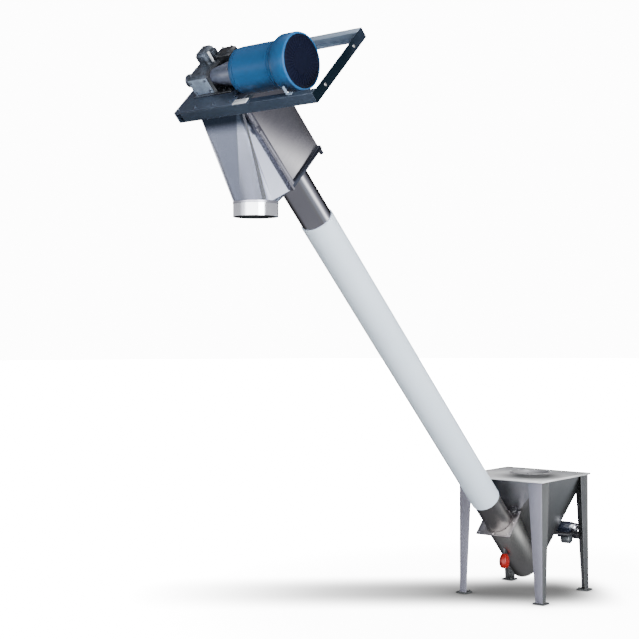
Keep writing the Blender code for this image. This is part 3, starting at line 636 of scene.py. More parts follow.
# Painted shade: near-black copies of the motor blue for the fan cover's end and its vents, which look away from the
# light.
SHADED_COVER_ENAMEL = Enamel("shaded_cover_enamel", Slot.COVER, (0.0014, 0.0022, 0.0092), (0.0024, 0.0036, 0.0125), (0.45, 0.6),
                      wear=0.2, wear_tone=(0.06, 0.08, 0.13), specular=0.08)
SHADED_VENT_ENAMEL = Enamel("shaded_vent_enamel", Slot.COVER, (0.0020, 0.0030, 0.0120), (0.003, 0.0045, 0.016), (0.45, 0.6),
                     specular=0.1)
ZINC = Finish("zinc_plate", Slot.TUBE, (0.50, 0.50, 0.49), (0.42, 0.42, 0.42), (0.28, 0.4), metallic=1.0,
              peel_scale=900.0, peel_bump=0.1, wear=0.2)
# Near-white steel for the rail's shim, and for the case's rib as a painted highlight.
SHIM_AND_HIGHLIGHT = Finish("shim_and_highlight_steel", Slot.TUBE, (0.90, 0.92, 0.94), (0.84, 0.86, 0.88), (0.3, 0.4), metallic=0.1,
              grain_bump=0.05)


class Pattern(Graph):
    """Geometry Nodes tree with a geometry input, named sizes and a material input."""

    def __init__(self, name: str, inputs: dict[str, float]) -> None:
        """Open the tree.

        Args:
            name: Name of the tree.
            inputs: Default value of each size; an int makes an integer input.
        """
        tree = bpy.data.node_groups.new(name, "GeometryNodeTree")
        tree.interface.new_socket(name="Geometry", in_out="INPUT", socket_type="NodeSocketGeometry")
        for label, value in inputs.items():
            kind = "NodeSocketInt" if isinstance(value, int) else "NodeSocketFloat"
            tree.interface.new_socket(name=label, in_out="INPUT", socket_type=kind).default_value = value
        tree.interface.new_socket(name="Material", in_out="INPUT", socket_type="NodeSocketMaterial")
        tree.interface.new_socket(name="Geometry", in_out="OUTPUT", socket_type="NodeSocketGeometry")
        super().__init__(tree)
        self.given = self.add("NodeGroupInput").outputs

    def point(self, x: object = 0.0, y: object = 0.0, z: object = 0.0) -> bpy.types.NodeSocket:
        """Put three values together.

        Args:
            x: First value or socket.
            y: Second value or socket.
            z: Third value or socket.

        Returns:
            The vector's socket.
        """
        return self.add("ShaderNodeCombineXYZ", {0: x, 1: y, 2: z}).outputs[0]

    def chance(self, values: dict) -> bpy.types.NodeSocket:
        """Draw a random value with the tree's seed.

        Args:
            values: Lowest and highest value.

        Returns:
            The value's socket.
        """
        drawn = self.add("FunctionNodeRandomValue", {**values, "Seed": self.given["Seed"]}, data_type="FLOAT")
        return next(out for out in drawn.outputs if out.enabled and out.type == "VALUE")

    def join(self, shapes: list[bpy.types.NodeSocket]) -> bpy.types.NodeSocket:
        """Join shapes.

        Args:
            shapes: Their sockets, last linked first.

        Returns:
            The joined shape's socket.
        """
        joined = self.add("GeometryNodeJoinGeometry")
        for shape in shapes:
            self.tree.links.new(shape, joined.inputs[0])
        return joined.outputs[0]

    def close(self, shape: bpy.types.NodeSocket) -> bpy.types.NodeTree:
        """End the tree: realize its instances and set its material.

        Args:
            shape: The geometry so far.

        Returns:
            The tree.
        """
        real = self.add("GeometryNodeRealizeInstances", {0: shape})
        dressed = self.add("GeometryNodeSetMaterial", {"Geometry": real.outputs[0],
                                                       "Material": self.given["Material"]})
        self.add("NodeGroupOutput", {0: dressed.outputs[0]})
        return self.tree


class PatternTrees:
    """Geometry Nodes trees for what repeats or follows a rule."""

    def __init__(self) -> None:
        """Build each tree once."""
        self.fasteners = self.fastener_tree()
        self.weld = self.weld_tree()
        self.vents = self.vent_tree()
        self.flight = self.flight_tree()

    @staticmethod
    def fastener_tree() -> bpy.types.NodeTree:
        """Hexagon heads with washers on points, each along its aim and turned at random.

        Returns:
            The tree.
        """
        graph = Pattern("fasteners", {"Head Radius": 0.006, "Head Height": 0.006, "Washer Radius": 0.009,
                                      "Washer Height": 0.002, "Seed": 1})
        given = graph.given
        radius, height, thick = given["Head Radius"], given["Head Height"], given["Washer Height"]
        washer = graph.add("GeometryNodeMeshCylinder", {"Vertices": 20, "Radius": given["Washer Radius"],
                                                        "Depth": thick})
        head = graph.add("GeometryNodeMeshCylinder", {"Vertices": 6, "Radius": radius, "Depth": height})
        crown = graph.add("GeometryNodeMeshCone", {"Vertices": 12, "Radius Top": graph.times(radius, 0.62),
                                                   "Radius Bottom": graph.times(radius, 0.86),
                                                   "Depth": graph.times(height, 0.16)})
        lift = graph.math("ADD", thick, graph.times(height, 0.5))
        raised = [graph.add("GeometryNodeTransform", {0: shape.outputs["Mesh"], "Translation": graph.point(z=level)})
                  for shape, level in ((washer, graph.times(thick, 0.5)), (head, lift),
                                       (crown, graph.math("ADD", thick, height)))]
        bolt = graph.join([shape.outputs[0] for shape in reversed(raised)])
        aim = graph.add("GeometryNodeInputNamedAttribute", {"Name": "aim"}, data_type="FLOAT_VECTOR")
        aligned = graph.add("FunctionNodeAlignRotationToVector", {"Vector": aim.outputs["Attribute"]}, axis="Z")
        turn = graph.add("FunctionNodeEulerToRotation", {0: graph.point(z=graph.chance({"Max": 6.283}))})
        spun = graph.add("FunctionNodeRotateRotation", {"Rotation": aligned.outputs[0], "Rotate By": turn.outputs[0]},
                         rotation_space="LOCAL")
        placed = graph.add("GeometryNodeInstanceOnPoints", {"Points": given["Geometry"], "Instance": bolt,
                                                            "Rotation": spun.outputs[0]})
        return graph.close(placed.outputs[0])

    @staticmethod
    def weld_tree() -> bpy.types.NodeTree:
        """Overlapping drops along polylines, as a hand-laid bead has.

        Returns:
            The tree.
        """
        graph = Pattern("weld_bead", {"Spacing": 0.003, "Width": 0.006, "Seed": 1})
        given = graph.given
        curve = graph.add("GeometryNodeMeshToCurve", {0: given["Geometry"]})
        spaced = graph.add("GeometryNodeResampleCurve", {"Curve": curve.outputs[0], "Length": given["Spacing"]},
                           mode="LENGTH")
        drop = graph.add("GeometryNodeMeshIcoSphere", {"Radius": graph.times(given["Width"], 0.5), "Subdivisions": 2})
        placed = graph.add("GeometryNodeInstanceOnPoints", {"Points": spaced.outputs[0], "Instance": drop.outputs[0],
                                                            "Scale": graph.chance({2: 0.82, 3: 1.08})})
        return graph.close(placed.outputs[0])

    @staticmethod
    def vent_tree() -> bpy.types.NodeTree:
        """Radial bars in a ring, with the gaps between them as vents.

        Returns:
            The tree.
        """
        graph = Pattern("vent_ring", {"Count": 30, "Inner Radius": 0.05, "Outer Radius": 0.1, "Bar Width": 0.004,
                                      "Bar Depth": 0.003})
        given = graph.given
        inner, outer = given["Inner Radius"], given["Outer Radius"]
        middle = graph.times(graph.math("ADD", inner, outer), 0.5)
        circle = graph.add("GeometryNodeMeshCircle", {"Vertices": given["Count"], "Radius": middle})
        size = graph.point(graph.math("SUBTRACT", outer, inner), given["Bar Width"], given["Bar Depth"])
        bar = graph.add("GeometryNodeMeshCube", {"Size": size})
        share = graph.math("DIVIDE", graph.add("GeometryNodeInputIndex").outputs[0], given["Count"])
        turn = graph.add("FunctionNodeEulerToRotation", {0: graph.point(z=graph.times(share, 2 * math.pi))})
        placed = graph.add("GeometryNodeInstanceOnPoints", {"Points": circle.outputs[0], "Instance": bar.outputs[0],
                                                            "Rotation": turn.outputs[0]})
        return graph.close(placed.outputs[0])

    @staticmethod
    def flight_tree() -> bpy.types.NodeTree:
        """A helical flight: a grid wound round the z axis and thickened.

        Returns:
            The tree.
        """
        graph = Pattern("screw_flight", {"Inner Radius": 0.028, "Outer Radius": 0.066, "Pitch": 0.13, "Turns": 23.0,
                                         "Steps": 24, "Thickness": 0.005, "Start": 0.022})
        given = graph.given
        count = graph.math("ADD", graph.times(given["Turns"], given["Steps"]), 1.0)
        sheet = graph.add("GeometryNodeMeshGrid", {"Size X": 1.0, "Size Y": 1.0, "Vertices X": 3,
                                                   "Vertices Y": count})
        place = graph.add("ShaderNodeSeparateXYZ", {0: graph.add("GeometryNodeInputPosition").outputs[0]})
        across = graph.math("ADD", place.outputs[0], 0.5)
        along = graph.times(graph.math("ADD", place.outputs[1], 0.5), given["Turns"])
        angle = graph.times(along, 2 * math.pi)
        width = graph.math("SUBTRACT", given["Outer Radius"], given["Inner Radius"])
        radius = graph.math("ADD", given["Inner Radius"], graph.times(across, width))
        rise = graph.math("ADD", graph.times(along, given["Pitch"]), given["Start"])
        spot = graph.point(graph.times(radius, graph.math("COSINE", angle)),
                           graph.times(radius, graph.math("SINE", angle)), rise)
        wound = graph.add("GeometryNodeSetPosition", {"Geometry": sheet.outputs["Mesh"], "Position": spot})
        thick = graph.add("GeometryNodeExtrudeMesh", {"Mesh": wound.outputs[0], "Offset": graph.point(z=1.0),
                                                      "Offset Scale": given["Thickness"], "Individual": False})
        under = graph.add("GeometryNodeFlipFaces", {0: wound.outputs[0]})
        both = graph.join([thick.outputs[0], under.outputs[0]])
        merged = graph.add("GeometryNodeMergeByDistance", {0: both, "Distance": 0.00001})
        return graph.close(merged.outputs[0])


def round_edges(drawn: bmesh.types.BMesh, width: float) -> None:
    """Round a mesh's sharp edges.

    Args:
        drawn: The mesh.
        width: Width of the rounding.
    """
    limit = math.radians(SHARP_EDGE)
    sharp = [edge for edge in drawn.edges if len(edge.link_faces) == 2 and edge.calc_face_angle(0.0) > limit]
    if sharp:
        bmesh.ops.bevel(drawn, geom=sharp, offset=width, offset_type="OFFSET", segments=2, profile=0.5,
                        affect="EDGES", clamp_overlap=True)


def loft(sections: list[list[Vector]], closed: bool = False) -> bmesh.types.BMesh:
    """Bridge matching loops of points.

    Args:
        sections: The loops.
        closed: Whether the last loop joins the first.

    Returns:
        The mesh, capped unless it is closed.
    """
    drawn = bmesh.new()
    loops = [[drawn.verts.new(point) for point in section] for section in sections]
    pairs = list(zip(loops, loops[1:]))
    if closed:
        pairs.append((loops[-1], loops[0]))
    count = len(loops[0])
    for lower, upper in pairs:
        for index in range(count):
            following = (index + 1) % count
            drawn.faces.new((lower[index], lower[following], upper[following], upper[index]))
    if not closed:
        drawn.faces.new(list(reversed(loops[0])))
        drawn.faces.new(loops[-1])
    return drawn


def on_axis(radius: float, angle: float, height: float, axis: str) -> Vector:
    """Point round an axis.

    Args:
        radius: Distance from the axis.
        angle: Angle round it.
        height: Place along it.
        axis: "X" or "Z".

    Returns:
        The point.
    """
    across, up = radius * math.cos(angle), radius * math.sin(angle)
    return Vector((across, up, height)) if axis == "Z" else Vector((height, across, up))


def lathe(profile: list[Span], steps: int = 96, axis: str = "Z", centre: Triple = (0.0, 0.0, 0.0),
          hollow: bool = False) -> bmesh.types.BMesh:
    """Turn a profile of (radius, height) points.

    Args:
        profile: Points from one end to the other, or all round where hollow.
        steps: Faces round the axis.
        axis: Axis of the turning.
        centre: A point on that axis.
        hollow: Whether the profile is a closed loop.

    Returns:
        The mesh.
    """
    base = Vector(centre)
    angles = [2 * math.pi * step / steps for step in range(steps)]
    if hollow:
        return loft([[base + on_axis(radius, angle, height, axis) for radius, height in profile]
                     for angle in angles], closed=True)
    return loft([[base + on_axis(radius, angle, height, axis) for angle in angles] for radius, height in profile])


def ring(count: int, radius: float) -> list[Span]:
    """Places evenly round a circle.

    Args:
        count: How many.
        radius: The circle's radius.

    Returns:
        Both coordinates of each.
    """
    angles = [2 * math.pi * (step + 0.5) / count for step in range(count)]
    return [(radius * math.cos(angle), radius * math.sin(angle)) for angle in angles]


def merge(parts: list[bmesh.types.BMesh]) -> bmesh.types.BMesh:
    """Put several drawn meshes into one.

    Args:
        parts: The meshes, which are used up.

    Returns:
        One mesh with all of them.
    """
    whole = bmesh.new()
    for part in parts:
        held = bpy.data.meshes.new("held")
        part.to_mesh(held)
        part.free()
        whole.from_mesh(held)
        bpy.data.meshes.remove(held)
    return whole


def blocks(boxes: list[Box]) -> bmesh.types.BMesh:
    """Boxes, each between two corners.

    Args:
        boxes: Lowest and highest corner of each.

    Returns:
        One mesh with all of them.
    """
    parts = []
    for low, high in boxes:
        drawn = bmesh.new()
        shape = Matrix.Translation((Vector(high) + Vector(low)) / 2) @ Matrix.Diagonal(
            (*(Vector(high) - Vector(low)), 1.0))
        bmesh.ops.create_cube(drawn, size=1.0, matrix=shape)
        parts.append(drawn)
    return merge(parts)


class Shop:
    """Makes each finish's material once and turns drawn meshes into pieces that ride on the conveyor."""

    def __init__(self, nodes: dict[str, bpy.types.Object]) -> None:
        """Build what every piece needs.

        Args:
            nodes: The CAD nodes by name.
        """
        self.nodes = nodes
        self.effects = SurfaceEffects()
        self.trees = PatternTrees()
        self.made: dict[str, bpy.types.Material] = {}

    def material(self, finish: Finish) -> bpy.types.Material:
        """Give a finish's material.

        Args:
            finish: The finish.

        Returns:
            Its material.
        """
        if finish.name not in self.made:
            self.made[finish.name] = finish.build(self.effects)
        return self.made[finish.name]

    def finish_piece(self, name: str, mesh: bpy.types.Mesh, finish: Finish, smooth: float,
                     replaced: tuple[str, ...] = ()) -> None:
        """Dress a mesh that is already in the row frame.

        Args:
            name: Name of the piece.
            mesh: Its mesh.
            finish: Its finish.
            smooth: Angle in degrees above which an edge stays sharp.
            replaced: CAD nodes that it stands for.
        """
        mesh.shade_smooth()
        mesh.set_sharp_from_angle(angle=math.radians(smooth))
        mesh.materials.clear()
        mesh.materials.append(self.material(finish))
        piece = bpy.data.objects.new(name, mesh)
        bpy.context.scene.collection.objects.link(piece)
        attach(piece, "root")
        if replaced:
            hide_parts(*replaced)
        mesh.calc_loop_triangles()
        LOG.info("%s: %d triangles", name, len(mesh.loop_triangles))

    def add(self, name: str, drawn: bmesh.types.BMesh, finish: Finish, frame: Frame = Frame.LINE,
            replaced: tuple[str, ...] = (), bevel: float = 0.0, smooth: float = SMOOTH_SURFACE) -> None:
        """Finish a drawn mesh.

        Args:
            name: Name of the piece.
            drawn: The mesh, in the given frame.
            finish: Its finish.
            frame: The frame it was drawn in.
            replaced: CAD nodes that it stands for.
            bevel: Width of the rounding on sharp edges.
            smooth: Angle in degrees above which an edge stays sharp.
        """
        drawn.transform(LAYOUT.matrix(frame))
        if bevel > 0.0:
            round_edges(drawn, bevel)
        bmesh.ops.recalc_face_normals(drawn, faces=drawn.faces)
        mesh = bpy.data.meshes.new(name)
        drawn.to_mesh(mesh)
        drawn.free()
        self.finish_piece(name, mesh, finish, smooth, replaced)

    def refine(self, finish: Finish, bevel: float, *nodes: str, smooth: float = SMOOTH_SURFACE) -> None:
        """Replace CAD nodes by copies with rounded edges and smooth curves.

        Args:
            finish: Their finish.
            bevel: Width of the rounding on sharp edges.
            *nodes: The CAD nodes.
            smooth: Angle in degrees above which an edge stays sharp.
        """
        for node in nodes:
            drawn = bmesh.new()
            drawn.from_mesh(self.nodes[node].data)
            bmesh.ops.remove_doubles(drawn, verts=drawn.verts, dist=1e-5)
            bmesh.ops.dissolve_limit(drawn, angle_limit=math.radians(0.5), verts=drawn.verts, edges=drawn.edges)
            self.add(f"{node}_dressed", drawn, finish, Frame.ROW, (node,), bevel, smooth)

    def grow(self, name: str, seed_mesh: bpy.types.Mesh, tree: bpy.types.NodeTree, values: dict[str, object],
             finish: Finish, place: Matrix | None = None) -> None:
        """Grow a piece with Geometry Nodes and keep the result as a plain mesh.

        Args:
            name: Name of the piece.
            seed_mesh: Mesh that the tree starts from.
            tree: The Geometry Nodes tree.
            values: The tree's inputs by name.
            finish: Its finish.
            place: Placement in the row frame, if any.
        """
        source = bpy.data.objects.new(f"{name}_source", seed_mesh)
        bpy.context.scene.collection.objects.link(source)
        modifier = source.modifiers.new("pattern", "NODES")
        modifier.node_group = tree
        settings = {**values, "Material": self.material(finish)}
        for item in tree.interface.items_tree:
            if item.in_out == "INPUT" and item.name in settings:
                modifier[item.identifier] = settings[item.name]
        bpy.context.view_layer.update()
        evaluated = source.evaluated_get(bpy.context.evaluated_depsgraph_get())
        mesh = bpy.data.meshes.new_from_object(evaluated)
        source.modifiers.clear()
        bpy.data.objects.remove(source, do_unlink=True)
        mesh.name = name
        mesh.transform(place or Matrix.Identity(4))
        self.finish_piece(name, mesh, finish, SMOOTH_SURFACE)

    def bolts(self, name: str, seats: list[Seat], size: float, finish: Finish, frame: Frame = Frame.LINE) -> None:
        """Set hexagon bolts with washers.

        Args:
            name: Name of the piece.
            seats: Seat and outward direction of each bolt.
            size: Half the head's width.
            finish: Their finish.
            frame: Frame of the seats.
        """
        place = LAYOUT.matrix(frame)
        mesh = bpy.data.meshes.new(f"{name}_seats")
        mesh.from_pydata([place @ point for point, _ in seats], [], [])
        aim = mesh.attributes.new("aim", "FLOAT_VECTOR", "POINT")
        for index, (_, direction) in enumerate(seats):
            aim.data[index].vector = (place.to_3x3() @ direction).normalized()
        values = {"Head Radius": size, "Head Height": size * HEAD_RISE, "Washer Radius": size * WASHER_REACH,
                  "Washer Height": size * WASHER_RISE, "Seed": len(seats)}
        self.grow(name, mesh, self.trees.fasteners, values, finish)

    def welds(self, name: str, runs: list[list[Vector]], width: float, finish: Finish, frame: Frame) -> None:
        """Lay weld beads along runs of points.

        Args:
            name: Name of the piece.
            runs: Polylines.
            width: Width of a bead.
            finish: Its finish.
            frame: Frame of the points.
        """
        place = LAYOUT.matrix(frame)
        points: list[Vector] = []
        edges: list[tuple[int, int]] = []
        for run in runs:
            first = len(points)
            points.extend(place @ point for point in run)
            edges.extend((first + index, first + index + 1) for index in range(len(run) - 1))
        mesh = bpy.data.meshes.new(f"{name}_runs")
        mesh.from_pydata(points, edges, [])
        values = {"Spacing": width * DROP_SPACING, "Width": width, "Seed": len(runs)}
        self.grow(name, mesh, self.trees.weld, values, finish)


@dataclass
class Assembly:
    """A sub-assembly, and the shop that finishes its pieces."""

    shop: Shop


@dataclass
class HopperStand(Assembly):
    """Four folded legs on pads, under the deck with its round inlet."""

    half: float = 0.2755
    pad_top: float = 0.008
    bolt_reach: float = 0.2345
    weld_run: float = 0.044
    collar_top: float = 0.7023
    inlet_x: float = 0.075
    inlet_ring: float = 0.118

    def build(self) -> None:
        """Make the stand's pieces."""
        for label in ("front", "left", "right", "rear"):
            finish = SHADED_POWDER if label in ("right", "rear") else POWDER_GREY
            self.shop.refine(finish, 0.0014, f"leg_{label}")
            self.shop.refine(PAD_POWDER, 0.0012, f"foot_{label}")
        self.shop.refine(LIT_DECK_POWDER, 0.0015, "hopper_deck")
        self.shop.refine(COLLAR_POWDER, 0.0008, "inlet_collar")
        corners = [(x, y) for x in SIDES for y in SIDES]
        anchors = [(Vector((x * self.bolt_reach, y * self.bolt_reach, self.pad_top)), UP) for x, y in corners]
        self.shop.bolts("anchor_bolts", anchors, 0.0055, PAD_POWDER, Frame.STAND)
        seats = [(Vector((self.inlet_x + x, y, self.collar_top)), UP) for x, y in ring(8, self.inlet_ring)]
        self.shop.bolts("inlet_bolts", seats, 0.0030, LIT_DECK_POWDER, Frame.STAND)
        runs = [self.leg_run(x, y) for x, y in corners]
        self.shop.welds("foot_welds", runs, 0.005, POWDER_GREY, Frame.STAND)

    def leg_run(self, side_x: int, side_y: int) -> list[Vector]:
        """Run of the bead where a leg meets its pad.

        Args:
            side_x: Side of the leg along x.
            side_y: Side of the leg along y.

        Returns:
            Its points.
        """
        corner = Vector((side_x * self.half, side_y * self.half, self.pad_top + 0.0005))
        return [corner + Vector((-side_x * self.weld_run, 0.0, 0.0)), corner,
                corner + Vector((0.0, -side_y * self.weld_run, 0.0))]


@dataclass
class HopperBody(Assembly):
    """Sloping hopper walls, the boot under them and what is fixed to the boot."""

    flange_face: float = 0.402
    flange_spots: tuple[Span, ...] = ((-0.095, -0.086), (0.0, -0.0905), (0.095, -0.086), (-0.095, 0.0),
                                      (0.098, 0.0), (-0.095, 0.068))
    knob_profile: tuple[Span, ...] = ((0.30, 0.0), (0.55, 0.02), (0.78, 0.10), (0.93, 0.24), (1.0, 0.42),
                                      (0.97, 0.58), (0.86, 0.74), (0.66, 0.88), (0.46, 0.96), (0.40, 1.0))
    knob_steps: int = 72
    knob_lobes: int = 8
    lobe_depth: float = 0.05

    def build(self) -> None:
        """Make the hopper's pieces."""
        self.shop.refine(DULL_STAINLESS, 0.0006, *[f"hopper_{wall}_wall" for wall in ("back", "near", "far")])
        self.shop.refine(FRONT_STAINLESS, 0.0006, "hopper_front_wall")
        self.shop.refine(TROUGH_STAINLESS, 0.0006, "boot_trough")
        self.shop.refine(TROUGH_STAINLESS, 0.0008, "boot_end_plate")
        self.shop.refine(FLANGE_STEEL, 0.0010, "boot_flange")
        self.shop.refine(BLACK_PAINT, 0.0010, "clean_out_stub", "flange_clamp")
        self.knob()
        seats = [(Vector((x, y, self.flange_face)), UP) for x, y in self.flange_spots]
        self.shop.bolts("boot_flange_bolts", seats, 0.0045, FLANGE_STEEL)

    def knob(self) -> None:
        """Red clean-out knob with soft lobes for the hand."""
        low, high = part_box("clean_out_knob")
        middle = (low + high) / 2
        reach = (high.x - low.x) / 2
        sections = []
        for share, lift in self.knob_profile:
            section = []
            for step in range(self.knob_steps):
                angle = 2 * math.pi * step / self.knob_steps
                lobe = 1.0 - self.lobe_depth * share * (1.0 - math.cos(self.knob_lobes * angle)) / 2
                section.append(on_axis(reach * share * lobe, angle, low.z + lift * (high.z - low.z), "Z")
                               + Vector((middle.x, middle.y, 0.0)))
            sections.append(section)
        self.shop.add("clean_out_knob_lobed", loft(sections), RED_KNOB, Frame.ROW, ("clean_out_knob",), smooth=50.0)


@dataclass
class Vibrator(Assembly):
    """Small vibrator on its bracket behind the hopper."""

    cap_ring: float = 0.014

    def build(self) -> None:
        """Make the vibrator's pieces."""
        finishes = {"bracket": BLACK_PAINT, "body": NAVY_ENAMEL, "cap": POLISHED, "foot": VIBRATOR_CAST}
        for label, finish in finishes.items():
            self.shop.refine(finish, 0.0010, f"vibrator_{label}")
        low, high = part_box("vibrator_cap")
        middle = (low + high) / 2
        seats = [(Vector((middle.x + x, low.y, middle.z + z)), Vector((0.0, -1.0, 0.0)))
                 for x, z in ring(4, self.cap_ring)]
        self.shop.bolts("vibrator_cap_bolts", seats, 0.0022, ZINC, Frame.ROW)


@dataclass
class ConveyingLine(Assembly):
    """Steel stubs, the white tube between them and the screw inside."""

    tube_radius: float = 0.084
    stub_radius: float = 0.0785
    bore: float = 0.0735
    line_start: float = 0.4023
    tube_start: float = 0.605
    tube_end: float = 2.714
    line_end: float = 3.0137
    overlap: float = 0.06
    lip: float = 0.0015
    shaft_radius: float = 0.030
    shaft_span: Span = (-0.0147, 3.553)
    shaft_bevel: float = 0.002
    flight_inner: float = 0.028
    flight_outer: float = 0.066
    pitch: float = 0.13

    def build(self) -> None:
        """Make the line's pieces."""
        self.tube("lower_stub", (self.line_start, self.tube_start + self.overlap), self.stub_radius, self.bore,
                  LINE_STAINLESS, "lower_tube")
        self.tube("white_tube", (self.tube_start, self.tube_end), self.tube_radius, self.stub_radius + HAIR,
                  WHITE_PIPE, "conveyor_tube")
        self.tube("upper_stub", (self.tube_end - self.overlap, self.line_end), self.stub_radius, self.bore,
                  POLISHED, "upper_tube")
        self.screw()

    def tube(self, name: str, span: Span, outer: float, inner: float, finish: Finish, node: str) -> None:
        """A round tube with rounded lips.

        Args:
            name: Name of the piece.
            span: Its two ends along the line.
            outer: Outside radius.
            inner: Bore radius.
            finish: Its finish.
            node: The CAD node it stands for.
        """
        (start, end), lip = span, self.lip
        profile = [(outer - lip, start), (outer, start + lip), (outer, end - lip), (outer - lip, end),
                   (inner + lip, end), (inner, end - lip), (inner, start + lip), (inner + lip, start)]
        self.shop.add(name, lathe(profile, 128, hollow=True), finish, replaced=(node,), smooth=30.0)

    def screw(self) -> None:
        """The flight by Geometry Nodes, and the shaft that carries it."""
        (start, end), radius, bevel = self.shaft_span, self.shaft_radius, self.shaft_bevel
        shaft = lathe([(radius - bevel, start), (radius, start + bevel), (radius, end - bevel),
                       (radius - bevel, end)], 48)
        self.shop.add("screw_shaft", shaft, SCREW_STEEL, replaced=("auger",))
        values = {"Inner Radius": self.flight_inner, "Outer Radius": self.flight_outer, "Pitch": self.pitch,
                  "Turns": 23.0, "Steps": 28, "Thickness": 0.005, "Start": 0.022}
        self.shop.grow("screw_flight", bpy.data.meshes.new("flight_seed"), self.shop.trees.flight, values,
                       SCREW_STEEL, LAYOUT.matrix(Frame.LINE))


@dataclass
class DischargeHousing(Assembly):
    """Folded housing, its plates, its bolted flange pair and the square-to-round chute."""

    half: float = 0.1135
    start: float = 3.014
    end: float = 3.505
    below: float = -0.140
    step: float = 0.006
    flange_out: float = 0.018
    latch_at: float = 3.355
    fold_top: float = 3.462
    fold_foot: Span = (-0.444, 0.896)
    fold_steps: int = 12
    fold_half: float = 0.0070
    fold_growth: float = 0.0030
    fold_sunk: float = 0.0004
    fold_rise: float = 0.0014
    strip_low: float = 3.474
    strip_high: float = 3.4965

    def build(self) -> None:
        """Make the housing's pieces."""
        self.shop.refine(HOUSING_STAINLESS, 0.0012, "housing_shell")
        self.shop.refine(SHADED_EDGE_STEEL, 0.0010, "housing_bottom_plate", "housing_top_plate")
        self.shop.refine(JOINT_STEEL, 0.0010, "chute_flange", "housing_flange")
        self.shop.refine(CHUTE_STAINLESS, 0.0, "discharge_chute", smooth=28.0)
        self.spout()
        self.trim()
        self.latch()
        self.bolts()

    def mirrored(self, reach: float, low: Span, high: Span) -> list[Box]:
        """Boxes on both sides of the housing.

        Args:
            reach: How far they stand out.
            low: Their lowest y and z.
            high: Their highest y and z.

        Returns:
            The two boxes.
        """
        near, far = self.half + HAIR, self.half + reach
        return [((-far, *low), (-near, *high)), ((near, *low), (far, *high))]

    def spout(self) -> None:
        """Round spout with its bore painted dark as shade and its joint, as wide and high as its CAD node, and the
        chute's folds in painted crease shade.
        """
        low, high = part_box("discharge_spout")
        middle = ((low.x + high.x) / 2, (low.y + high.y) / 2, 0.0)
        outer = (high.x - low.x) / 2
        skin = [(outer - 0.0010, low.z), (outer, low.z + 0.0010), (outer, high.z), (outer - 0.0013, high.z),
                (outer - 0.0013, low.z + 0.0004)]
        self.shop.add("spout_skin", lathe(skin, 96, "Z", middle, hollow=True), SPOUT_STEEL, Frame.ROW,
                      ("discharge_spout",))
        bore = [(outer - 0.0030, low.z + 0.0008), (outer - 0.0015, low.z + 0.0004), (outer - 0.0015, high.z),
                (outer - 0.0030, high.z)]
        self.shop.add("spout_bore", lathe(bore, 96, "Z", middle, hollow=True), SHADED_BORE, Frame.ROW)
        folds = [self.fold(side, middle[0], outer - 0.002, high.z + 0.002) for side in SIDES]
        self.shop.add("chute_folds_shaded", merge(folds), CREASE_SHADE_STEEL, Frame.ROW, smooth=20.0)
        joint = [(outer + 0.0002, high.z - 0.011), (outer + 0.0012, high.z - 0.010),
                 (outer + 0.0012, high.z - 0.001), (outer + 0.0002, high.z)]
        self.shop.add("spout_joint", lathe(joint, 96, "Z", middle, hollow=True), JOINT_STEEL, Frame.ROW)

    def fold(self, side: int, middle: float, radius: float, foot: float) -> bmesh.types.BMesh:
        """Pressed fold down one side of the chute, laid on its skin, in dark steel as painted shade along the crease.

        Args:
            side: Side of the chute.
            middle: Place of the spout's axis along x.
            radius: Radius of the circle that the fold ends on.
            foot: Height of that circle.

        Returns:
            The fold's mesh, in the row frame.
        """
        node = self.shop.nodes["discharge_chute"]
        skin = BVHTree.FromPolygons([node.matrix_world @ vert.co for vert in node.data.vertices],
                                    [tuple(face.vertices) for face in node.data.polygons])
        top = LAYOUT.matrix(Frame.LINE) @ Vector((-side * self.half, self.below - 0.014, self.fold_top))
        end = Vector((middle + self.fold_foot[0] * radius, LAYOUT.centre + side * self.fold_foot[1] * radius, foot))
        sections = []
        for step in range(self.fold_steps + 1):
            share = step / self.fold_steps
            outside = top.lerp(end, share) + Vector((0.0, side * 0.3, 0.0))
            spot, normal, _, _ = skin.ray_cast(outside, Vector((0.0, -float(side), 0.0)))
            if spot is None:
                continue
            normal = normal if normal.y * side > 0 else -normal
            across = normal.cross(end - top).normalized() * (self.fold_half + self.fold_growth * share)
            sunk, raised = normal * self.fold_sunk, normal * self.fold_rise
            sections.append([spot + across - sunk, spot - across - sunk, spot - across * 0.8 + raised,
                             spot + across * 0.8 + raised])
        return loft(sections)

    def trim(self) -> None:
        """Dark strips under the top plate as painted shadow below the rail, a lug in painted shade under the bottom
        plate's upper corner, lips of the housing's flange.
        """
        strips = self.mirrored(0.0030, (self.below + 0.025, self.strip_low), (0.150, self.strip_high))
        self.shop.add("top_shadow_strips", blocks(strips), SHADOW_STRIP, bevel=0.0008)
        lug = ((self.half - 0.010, 0.136, self.start - 0.024), (self.half + 0.006, 0.150, self.start - HAIR))
        self.shop.add("corner_lug", blocks([lug]), SHADED_EDGE_STEEL, bevel=0.002)
        lips = self.mirrored(0.0165, (self.below + HAIR, self.start + 0.021), (self.below + 0.019, self.end - 0.001))
        self.shop.add("flange_lips", blocks(lips), JOINT_STEEL, bevel=0.0015)

    def latch(self) -> None:
        """Small toggle latch across the flange pair, in its CAD node's place."""
        edge = self.half + self.flange_out + HAIR
        middle = self.below - self.step
        base = ((edge, middle - 0.012, self.latch_at - 0.016), (edge + 0.004, middle + 0.014, self.latch_at + 0.016))
        lever = ((edge + 0.0042, middle - 0.006, self.latch_at - 0.010),
                 (edge + 0.0095, middle + 0.010, self.latch_at - 0.002))
        self.shop.add("toggle_latch", blocks([base, lever]), JOINT_STEEL, replaced=("door_latch",), bevel=0.0012)

